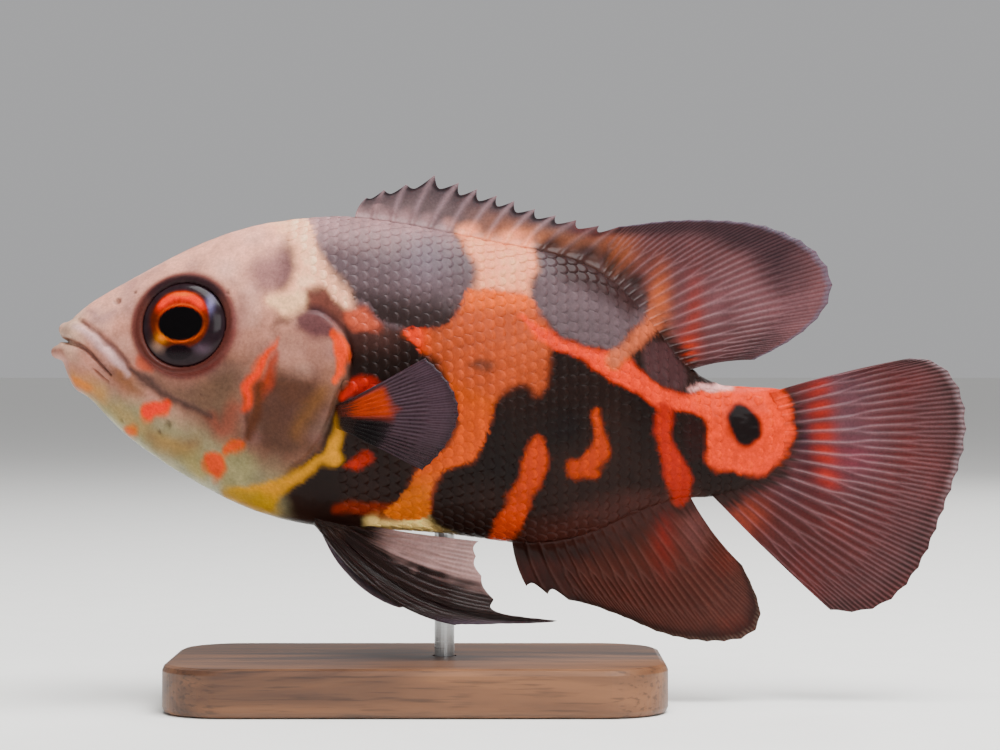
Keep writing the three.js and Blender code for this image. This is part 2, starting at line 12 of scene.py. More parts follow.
import bpy
import numpy as np
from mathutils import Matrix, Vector

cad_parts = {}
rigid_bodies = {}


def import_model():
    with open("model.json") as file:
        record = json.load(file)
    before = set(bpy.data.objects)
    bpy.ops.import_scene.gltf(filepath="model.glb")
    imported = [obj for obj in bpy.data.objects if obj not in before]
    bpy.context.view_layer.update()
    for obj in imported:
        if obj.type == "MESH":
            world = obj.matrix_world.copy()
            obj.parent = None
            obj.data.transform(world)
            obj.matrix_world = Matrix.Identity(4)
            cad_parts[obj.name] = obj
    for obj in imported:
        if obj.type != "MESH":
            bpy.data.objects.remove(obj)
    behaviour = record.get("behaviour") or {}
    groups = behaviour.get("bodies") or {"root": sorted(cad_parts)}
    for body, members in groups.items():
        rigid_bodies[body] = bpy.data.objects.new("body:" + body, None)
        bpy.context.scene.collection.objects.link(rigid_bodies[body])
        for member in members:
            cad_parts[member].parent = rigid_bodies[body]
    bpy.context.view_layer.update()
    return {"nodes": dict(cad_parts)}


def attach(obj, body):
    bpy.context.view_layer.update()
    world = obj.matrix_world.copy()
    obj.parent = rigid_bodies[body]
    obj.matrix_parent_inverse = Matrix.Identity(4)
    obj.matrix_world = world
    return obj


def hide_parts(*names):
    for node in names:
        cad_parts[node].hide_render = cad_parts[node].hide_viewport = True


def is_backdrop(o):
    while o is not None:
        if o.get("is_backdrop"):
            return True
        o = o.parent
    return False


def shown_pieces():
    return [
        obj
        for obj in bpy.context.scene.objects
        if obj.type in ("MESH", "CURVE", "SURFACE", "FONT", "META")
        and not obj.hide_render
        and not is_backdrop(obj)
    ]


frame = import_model()

# %% [markdown]
# ## Millimetres along the fish
# Two numbers place a spot on the side of the fish: s, the distance behind the tip of the lower lip, and z, the
# height above the table. One function turns such places into Blender's metres.

# %% Units and small helpers
MM = 0.001
MERGE_DISTANCE = 0.004 * MM
TOTAL_LENGTH = 115.2
LEFT, RIGHT = -1, 1
SIDES = {"left": LEFT, "right": RIGHT}


def to_metres(places):
    """Rows of (s, y, z) in millimetres as rows of (x, y, z) in metres."""
    return (np.asarray(places, float) - (TOTAL_LENGTH / 2, 0, 0)) * MM


def coordinates(obj):
    """A mesh object's vertices as rows of (x, y, z), as they are stored."""
    flat = np.empty(len(obj.data.vertices) * 3)
    obj.data.vertices.foreach_get("co", flat)
    return flat.reshape(-1, 3)


def move_vertices(obj, places):
    obj.data.vertices.foreach_set("co", to_metres(places).ravel())
    obj.data.update()


def smooth_step(low, high, value):
    share = np.clip((value - low) / (high - low), 0, 1)
    return share * share * (3 - 2 * share)


def unit(rows):
    return rows / np.maximum(np.linalg.norm(rows, axis=-1, keepdims=True), 1e-9)


def curve_between(a, b, c, d, t):
    """A smooth curve from b to c, for t from 0 to 1, with a before it and d after it."""
    bend = (2 * a - 5 * b + 4 * c - d) * t * t + (3 * b - 3 * c + d - a) * t ** 3
    return 0.5 * (2 * b + (c - a) * t + bend)


def smooth_line(rows, steps, closed=False):
    """More rows on a smooth curve through the given ones."""
    rows = np.asarray(rows, float)
    count = len(rows)
    fine = []
    for i in range(count if closed else count - 1):
        near = [(i + j) % count if closed else min(max(i + j, 0), count - 1) for j in (-1, 0, 1, 2)]
        fine += [curve_between(*rows[near], t) for t in np.arange(steps) / steps]
    return np.array(fine if closed else fine + [rows[-1]])


def at_share(line, share):
    """The place at a share, or at many shares, of a line's length."""
    lengths = np.concatenate([[0], np.cumsum(np.linalg.norm(np.diff(line, axis=0), axis=1))])
    return np.stack([np.interp(np.multiply(share, lengths[-1]), lengths, column) for column in line.T], axis=-1)


def noise(places, size, seed=0):
    """Smooth noise from -1 to 1, with lumps of about the given size."""
    cell = np.floor(places / size).astype(np.int64)
    part = places / size - cell
    part = part * part * (3 - 2 * part)
    total = np.zeros(len(places))
    for corner in itertools.product((0, 1), repeat=3):
        code = ((cell + corner) @ np.array([73856093, 19349663, 83492791]) + seed * 7919) & 0x7FFFFFFF
        code = ((code ^ (code >> 13)) * 1274126177) & 0x7FFFFFFF
        value = ((code ^ (code >> 16)) & 0xFFFF) / 32767.5 - 1
        total += value * np.prod(np.where(corner, part, 1 - part), axis=1)
    return total


def select_only(obj):
    bpy.ops.object.select_all(action="DESELECT")
    obj.select_set(True)
    bpy.context.view_layer.objects.active = obj


def apply_modifier(obj, name, kind, **settings):
    select_only(obj)
    modifier = obj.modifiers.new(name, kind)
    for key, value in settings.items():
        setattr(modifier, key, value)
    bpy.ops.object.modifier_apply(modifier=name)


def clean_mesh(obj, merge=False):
    """Turns all faces outwards in edit mode and shades them smoothly. Merges double vertices first, if asked."""
    select_only(obj)
    bpy.ops.object.mode_set(mode="EDIT")
    bpy.ops.mesh.select_all(action="SELECT")
    if merge:
        bpy.ops.mesh.remove_doubles(threshold=MERGE_DISTANCE)
        bpy.ops.mesh.dissolve_degenerate(threshold=MERGE_DISTANCE / 2)
    bpy.ops.mesh.normals_make_consistent(inside=False)
    bpy.ops.object.mode_set(mode="OBJECT")
    bpy.ops.object.shade_smooth()


def add_grid(name, rows, columns):
    """A flat primitive grid, and the share (0 to 1) of every vertex across and along it."""
    bpy.ops.object.select_all(action="DESELECT")
    bpy.ops.mesh.primitive_grid_add(x_subdivisions=rows, y_subdivisions=columns, size=1)
    obj = bpy.context.object
    obj.name = obj.data.name = name
    across, along, _ = (coordinates(obj) + 0.5).T
    return obj, across, along


# %% [markdown]
# ## The body's form
# The body is a row of sections, from the snout to the tail root. Each has a height, a width, the level where it
# is widest, and how keeled its back and belly are. The numbers are the ones that shaped the CAD solids, so the
# skin lies where the solids are. A smooth curve fills in between the stations.

# %% Stations of the body
# s, back, belly, half width, level, back edge, belly edge
STATIONS = np.array([
    [1.2, 47.4, 41.4, 2.5, 0.55, 1.0, 0.9],
    [3.0, 48.8, 39.5, 3.6, 0.55, 1.0, 0.85],
    [5.0, 50.4, 38.2, 4.3, 0.55, 0.95, 0.8],
    [8.6, 52.5, 34.5, 5.1, 0.56, 0.9, 0.8],
    [13.0, 54.9, 31.1, 5.9, 0.56, 0.85, 0.8],
    [18.6, 57.7, 27.6, 6.7, 0.55, 0.85, 0.8],
    [24.9, 59.9, 24.5, 7.5, 0.52, 0.9, 0.8],
    [31.2, 60.9, 22.7, 8.2, 0.5, 1.0, 0.8],
    [37.5, 61.2, 22.0, 8.5, 0.49, 1.05, 0.8],
    [43.8, 60.5, 21.8, 8.4, 0.48, 1.1, 0.85],
    [50.1, 59.3, 21.3, 8.0, 0.48, 1.1, 0.9],
    [56.4, 58.0, 20.5, 7.2, 0.48, 1.1, 1.0],
    [62.1, 57.0, 20.0, 6.2, 0.48, 1.1, 1.1],
    [67.7, 55.2, 21.2, 5.1, 0.48, 1.1, 1.1],
    [72.1, 52.0, 23.0, 4.2, 0.49, 1.1, 1.1],
    [75.9, 47.6, 24.6, 3.5, 0.5, 1.05, 1.05],
    [79.7, 42.8, 25.7, 2.9, 0.5, 1.0, 1.0],
    [83.5, 40.3, 26.0, 2.3, 0.5, 1.0, 1.0],
    [87.2, 39.8, 26.0, 1.8, 0.5, 1.0, 1.0],
    [91.0, 39.6, 26.6, 1.3, 0.5, 1.0, 1.0],
    [96.0, 38.4, 28.4, 0.8, 0.5, 1.0, 1.0],
])
BODY_START, BODY_END = 1.2, 96.0
FRONT_CAP, REAR_CAP = 2.2, 1.5
CAUDAL_BASE = np.array([[91.1, 39.3], [92.6, 35.4], [92.2, 31.6], [90, 28.6], [86.8, 26.9], [83.6, 25.6]])


def section_at(s):
    """Middle height, reach up and down, half width, and the two edge powers of the body's sections at s."""
    s = np.atleast_1d(np.asarray(s, float))
    at = np.clip(s, BODY_START, BODY_END)
    places = STATIONS[:, 0]
    i = np.clip(np.searchsorted(places, at, side="right") - 1, 0, len(places) - 2)
    before, after = np.maximum(i - 1, 0), np.minimum(i + 2, len(places) - 1)
    step = places[i + 1] - places[i]
    t = ((at - places[i]) / step)[:, None]
    rise_a = ((STATIONS[i + 1] - STATIONS[before]).T / (places[i + 1] - places[before])).T
    rise_b = ((STATIONS[after] - STATIONS[i]).T / (places[after] - places[i])).T
    reach = step[:, None]
    row = (1 - t) ** 2 * (STATIONS[i] * (1 + 2 * t) + rise_a * reach * t)
    row = row + t ** 2 * (STATIONS[i + 1] * (3 - 2 * t) - rise_b * reach * (1 - t))
    back, belly, half, level, back_edge, belly_edge = row[:, 1:].T
    nose = np.clip((s - BODY_START) / FRONT_CAP, 0, 1)
    end = np.clip((BODY_END - s) / REAR_CAP, 0, 1)
    rounding = np.sqrt(nose * (2 - nose) * end * (2 - end))
    middle = belly + (back - belly) * level
    return middle, (back - middle) * rounding, (middle - belly) * rounding, half * rounding, back_edge, belly_edge


def body_places(s, angle):
    """Places on the body's left side, at s and at an angle that runs from the back, 0, to the belly, pi."""
    middle, up, down, half, back_edge, belly_edge = section_at(s)
    cosine, sine = np.cos(angle), np.clip(np.sin(angle), 0, 1)
    edge = np.where(cosine >= 0, back_edge, belly_edge)
    height = middle + np.where(cosine >= 0, up, down) * cosine
    width = half * sine ** edge
    beyond = smooth_step(-2.4, 2.0, behind_caudal_base(s, height))
    return np.stack([s, -width * (1 - beyond) - 0.05 * beyond * sine, height], axis=-1)


def behind_caudal_base(s, z):
    """How far a place lies behind the curved line where the tail fin's rays begin."""
    order = np.argsort(CAUDAL_BASE[:, 1])
    return s - np.interp(z, CAUDAL_BASE[order, 1], CAUDAL_BASE[order, 0])


def flank(s, z):
    """How far out from the middle plane the skin lies at a place of the side view."""
    middle, up, down, half, back_edge, belly_edge = section_at(s)
    upper = z > middle
    cosine = np.clip((z - middle) / np.maximum(np.where(upper, up, down), 1e-6), -1, 1)
    return half * np.sqrt(1 - cosine ** 2) ** np.where(upper, back_edge, belly_edge)


print("Widest half width of the body:", round(float(section_at(np.arange(2.0, 95))[3].max()), 2), "mm")

# %% [markdown]
# ## One skin for the whole fish
# The real skin has no seams, so a single sheet is wrapped round the body. A grid is a good start: each vertex gets
# a distance along the fish and an angle round it. Rows lie 0.2 mm apart on the head, where the small forms are,
# wider on the flank, and closer again at the tail root, for the eye spot's edge. Only the left half is shaped, and
# a Mirror modifier makes the other half.

# %% Grid of the left half
SKIN_ROWS, SKIN_COLUMNS = 318, 124
# Steps between rows in millimetres, and the share by which they are closer at the tail root
HEAD_STEP, TRUNK_STEP, TAIL_SHARE = 0.21, 0.5, 0.45
SKIN_END = 92.9
MIDDLE_ROW, MIDDLE_COLUMN = 150, 60


def skin_rows(count):
    """Distances s of the skin's rows, closer on the head and at the tail than on the trunk."""
    ease = (1 - np.cos(np.linspace(0, math.pi, 6000))) / 2
    s = BODY_START + (SKIN_END - BODY_START) * ease
    _, up, _, half, _, _ = section_at(s)
    step = HEAD_STEP + (TRUNK_STEP - HEAD_STEP) * smooth_step(36, 46, s)
    step = step * (1 - TAIL_SHARE * smooth_step(82, 84, s))
    travel = np.sqrt(np.diff(s) ** 2 + 0.6 * np.diff(up) ** 2 + 0.4 * np.diff(half) ** 2) / step[1:]
    cost = np.concatenate([[0], np.cumsum(travel)])
    return np.interp(np.linspace(0, cost[-1], count), cost, s)


skin, row_share, column_share = add_grid("skin", SKIN_ROWS, SKIN_COLUMNS)
row_index = np.rint(row_share * SKIN_ROWS).astype(int)
column_index = np.rint(column_share * SKIN_COLUMNS).astype(int)
row_places = skin_rows(SKIN_ROWS + 1)
column_line = np.linspace(0, 1, SKIN_COLUMNS + 1)
column_angles = math.pi * (column_line + 0.5 * np.sin(2 * math.pi * column_line) / (2 * math.pi))
grid_s, grid_angle = np.meshgrid(row_places, column_angles, indexing="ij")
base = body_places(grid_s.ravel(), grid_angle.ravel()).reshape(SKIN_ROWS + 1, SKIN_COLUMNS + 1, 3)
across, along = np.gradient(base, axis=1), np.gradient(base, axis=0)
outward = unit(np.cross(along, across))
outward[0], outward[-1] = (-1, 0, 0), (1, 0, 0)
if outward[MIDDLE_ROW, MIDDLE_COLUMN, 1] > 0:
    outward[1:-1] *= -1
outward[:, [0, -1], 1] = 0
outward = unit(outward)
print("Skin sheet:", SKIN_ROWS, "rows by", SKIN_COLUMNS, "columns on one side")

# %% [markdown]
# ## The small forms of the head
# Lips, the rim of the orbit, nostrils, pores and the edge of the gill cover all grow out of the same skin. Each
# is a simple distance rule: a tube round a line, a ring, a pit. Every vertex then moves along its own normal until
# the joined rule is zero, which blends the forms softly, as flesh does.

# %% Lines of the head, in (s, z) and a radius
UPPER_LIP = [
    [1.7, 47.05, 0.95], [3.5, 46.65, 0.96], [5.7, 45.6, 0.9], [7.2, 43.9, 0.85], [8.7, 42.1, 0.75], [9.6, 41.2, 0.5],
]
LOWER_LIP = [[0.7, 44.15, 0.95], [2.4, 44.3, 1.0], [4.4, 43.8, 0.85], [6.1, 42.4, 0.7], [7.4, 41.2, 0.5]]
GAPE = [
    [0.0, 45.7, 0.72], [1.5, 45.55, 0.5], [2.2, 45.5, 0.5], [3.3, 45.2, 0.38], [4.9, 44.5, 0.32], [6.3, 43.1, 0.3],
    [8.0, 41.4, 0.2],
]
LIP_FOLD = [[5.2, 43.2, 0.2], [6.0, 42.2, 0.26], [7.6, 40.6, 0.2]]
MAXILLA_GROOVE = [[3.6, 48.2, 0.15], [5.6, 47.1, 0.3], [7.3, 45.7, 0.36], [8.9, 44.0, 0.4], [10.5, 41.9, 0.42]]
CHEEK_GROOVE = [
    [10.5, 41.9, 0.4], [12.0, 40.9, 0.42], [13.4, 39.7, 0.4], [15.6, 38.4, 0.34], [17.7, 37.5, 0.28],
    [20.3, 36.3, 0.15],
]
PREOPERCLE = [
    [26.6, 44.2, 0.1], [25.4, 41.4, 0.2], [24.6, 38.6, 0.25], [24.8, 35.6, 0.28], [24.6, 33.2, 0.25],
    [22.4, 31.3, 0.15],
]
GILL_COVER = [
    [28.9, 46.9], [31.4, 48.8], [34, 49], [36.3, 47.3], [37.8, 44.3], [37.2, 41.4], [36.1, 38.6], [35.2, 35.9],
    [33.9, 33.1], [31.8, 30.7], [28.8, 29], [25.4, 28.2], [22.6, 28.5], [23.8, 31], [24.6, 34], [24.1, 37.9],
    [25.1, 41.4], [26.8, 44.4],
]
PORES = [
    [15.2, 35.2, 0.42], [14.1, 34.2, 0.26], [9.2, 35.6, 0.24], [19.5, 38.9, 0.2], [11.0, 51.6, 0.2],
    [22.8, 51.5, 0.22],
]
NOSTRIL = [8.7, 50.5, 0.48]
# The eye: its place, the radii of its socket and ball, its depth before and behind, and where it looks, in degrees
EYE = {
    "s": 17.4, "z": 47.5, "radius": 5.25, "ball": 5.45, "bulge": 1.6, "back": 2.4, "sunk": 0.5, "up": 13,
    "forward": 8,
}
PECTORAL_ROOT = (37.6, 36.2)


def eye_frame(side):
    """The eye's centre and its three directions: forward, up and outward, for one side of the head."""
    up, forward = math.radians(EYE["up"]), math.radians(EYE["forward"])
    outward_line = Vector((-math.sin(forward), side * math.cos(forward) * math.cos(up), math.sin(up))).normalized()
    up_line = (Vector((0, 0, 1)) - outward_line * outward_line.z).normalized()
    forward_line = up_line.cross(outward_line) * (1 if side == LEFT else -1)
    if forward_line.x > 0:
        forward_line.negate()
    depth = float(flank(EYE["s"], EYE["z"])[0]) - EYE["sunk"]
    return np.array([EYE["s"], side * depth, EYE["z"]]), np.array([forward_line, up_line, outward_line])


def on_flank(rows, sunk=0.0):
    """Rows of (s, z, radius) laid on the left flank, as rows of (s, y, z, radius)."""
    rows = np.asarray(rows, float)
    y = -np.maximum(flank(rows[:, 0], rows[:, 1]) - sunk * rows[:, 2], 0)
    return np.stack([rows[:, 0], y, rows[:, 1], rows[:, 2]], axis=-1)


def mouth_line(rows, steps, sunk=0.0, ends_in_middle=1):
    """A line on the flank whose first stations lie in the middle plane, so that it meets its mirror image."""
    line = on_flank(rows, sunk)
    line[:ends_in_middle, 1] = 0
    return smooth_line(line, steps)


def from_segment(places, a, b):
    """The share of the way from a to b that is nearest to each place, and the place's offset from there."""
    step = b - a
    share = np.clip((places - a) @ step / max(step @ step, 1e-9), 0, 1)
    return share, places - a - share[:, None] * step


def to_tube(places, line):
    """Distance to the surface of a tube round a line, whose rows end with the tube's radius."""
    best = np.full(len(places), 1e9)
    for a, b in zip(line[:-1], line[1:]):
        share, offset = from_segment(places, a[:-1], b[:-1])
        best = np.minimum(best, np.linalg.norm(offset, axis=1) - (a[-1] + (b[-1] - a[-1]) * share))
    return best


def joined(a, b, blend):
    """Two forms as one, with a soft valley between them."""
    share = np.maximum(blend - np.abs(a - b), 0) / blend
    return np.minimum(a, b) - share * share * blend / 4


def carved(form, tool, blend):
    return -joined(-form, tool, blend)


def outline_distance(places, outline):
    """Signed distance to a closed outline in the side view, negative inside it."""
    best = np.full(len(places), 1e9)
    inside = np.zeros(len(places), bool)
    x, y = places.T
    for a, b in zip(outline, np.roll(outline, -1, axis=0)):
        best = np.minimum(best, (from_segment(places, a, b)[1] ** 2).sum(axis=1))
        if a[1] != b[1]:
            inside ^= ((a[1] > y) != (b[1] > y)) & (x < (b[0] - a[0]) * (y - a[1]) / (b[1] - a[1]) + a[0])
    return np.where(inside, -1, 1) * np.sqrt(best)


# %% The joined rule of the skin
gill_line = smooth_line(GILL_COVER, 4, closed=True)
upper_lip, lower_lip = (mouth_line(rows, 6, sunk=0.45) for rows in (UPPER_LIP, LOWER_LIP))
gape_line = mouth_line(GAPE, 4, ends_in_middle=2)
grooves = [(smooth_line(on_flank(rows), 4), blend) for rows, blend in (
    (MAXILLA_GROOVE, 0.5), (CHEEK_GROOVE, 0.6), (PREOPERCLE, 0.5), (LIP_FOLD, 0.3))]
eye_centre, eye_axes = eye_frame(LEFT)
pores = on_flank(PORES + [NOSTRIL])
lobe_centre = np.array([PECTORAL_ROOT[0], 0.5 - float(flank(*PECTORAL_ROOT)[0]), PECTORAL_ROOT[1]])


def skin_rule(places, height):
    """Signed distance to the finished skin, for places that stand at a height over the plain body."""
    form = joined(height, to_tube(places, upper_lip) + 0.12, 0.9)
    form = joined(form, to_tube(places, lower_lip) + 0.12, 0.9)
    form = carved(form, to_tube(places, gape_line), 0.15)
    for line, blend in grooves:
        form = carved(form, to_tube(places, line), blend)
    forward, up, out = ((places - eye_centre) @ eye_axes.T).T
    ring = np.hypot(forward, up)
    form = joined(form, np.hypot(ring - EYE["radius"] - 0.6, out - 0.1) - 0.5, 0.9)
    form = carved(form, np.maximum(ring - EYE["radius"] - 0.02, np.abs(out) - 2.2), 0.12)
    for pore in pores:
        form = carved(form, np.linalg.norm(places - pore[:3], axis=1) - pore[3], 0.15)
    lobe = (np.linalg.norm((places - lobe_centre) / (1.5, 1.4, 2.4), axis=1) - 1) * 1.4
    form = joined(form, lobe, 0.8)
    side = outline_distance(places[:, [0, 2]], gill_line)
    free_edge = smooth_step(26, 35, places[:, 0])
    plate = 0.45 * free_edge * smooth_step(0.16, -0.16, side)
    slit = 0.4 * free_edge * np.exp(-((side - 0.3) / 0.32) ** 2)
    return form - plate + slit


# %% Moving each vertex along its normal
RELIEF_START, RELIEF_LIMIT, RELIEF_STEPS = 2.4, 2.2, 11
HEAD_END = 42
start, normal = base.reshape(-1, 3), outward.reshape(-1, 3)
height = np.full(len(start), RELIEF_START)
near_head = start[:, 0] < HEAD_END
for _ in range(RELIEF_STEPS):
    places = start[near_head] + normal[near_head] * height[near_head, None]
    height[near_head] -= skin_rule(places, height[near_head])
height[~near_head] = 0
height = np.clip(height, -RELIEF_LIMIT, RELIEF_LIMIT)
tremor = 0.035 * noise(start, 1.3, 3) + 0.02 * noise(start, 0.5, 4)
finished = (start + normal * (height + tremor)[:, None]).reshape(base.shape)
finished[:, [0, -1], 1] = 0
finished[[0, -1]] = finished[[0, -1], MIDDLE_COLUMN][:, None]
move_vertices(skin, finished[row_index, column_index])
apply_modifier(skin, "other_half", "MIRROR", use_axis=(False, True, False), merge_threshold=0.01 * MM)
clean_mesh(skin, merge=True)
print("Skin faces:", len(skin.data.polygons), "relief in mm:", round(height.min(), 2), "to", round(height.max(), 2))

# %% [markdown]
# ## The markings
# A tiger oscar's coat is a set of separate patches: slate saddles, black bars, orange stripes and an eye spot at
# the tail root. Each patch is a named outline or a brush stroke of varying width in the side view. The edges are
# pushed about by noise, so that they break up as real pigment does. Skin and scales use the same rule.

# %% Colours of the fish


def linear(code):
    """A colour given as sRGB hex, as linear red, green and blue."""
    values = np.array([int(code[i:i + 2], 16) for i in (1, 3, 5)]) / 255
    return np.where(values <= 0.04045, values / 12.92, ((values + 0.055) / 1.055) ** 2.4)


FOREHEAD, FACE, CHEEK, CHIN = "#e6b09e", "#be8b7c", "#7f5c4d", "#9a8f72"
SLATE, SLATE_DARK, SLATE_PALE = "#615154", "#281b19", "#a98787"
BLACK, ORANGE, RUST = "#100604", "#e8520e", "#b2543a"

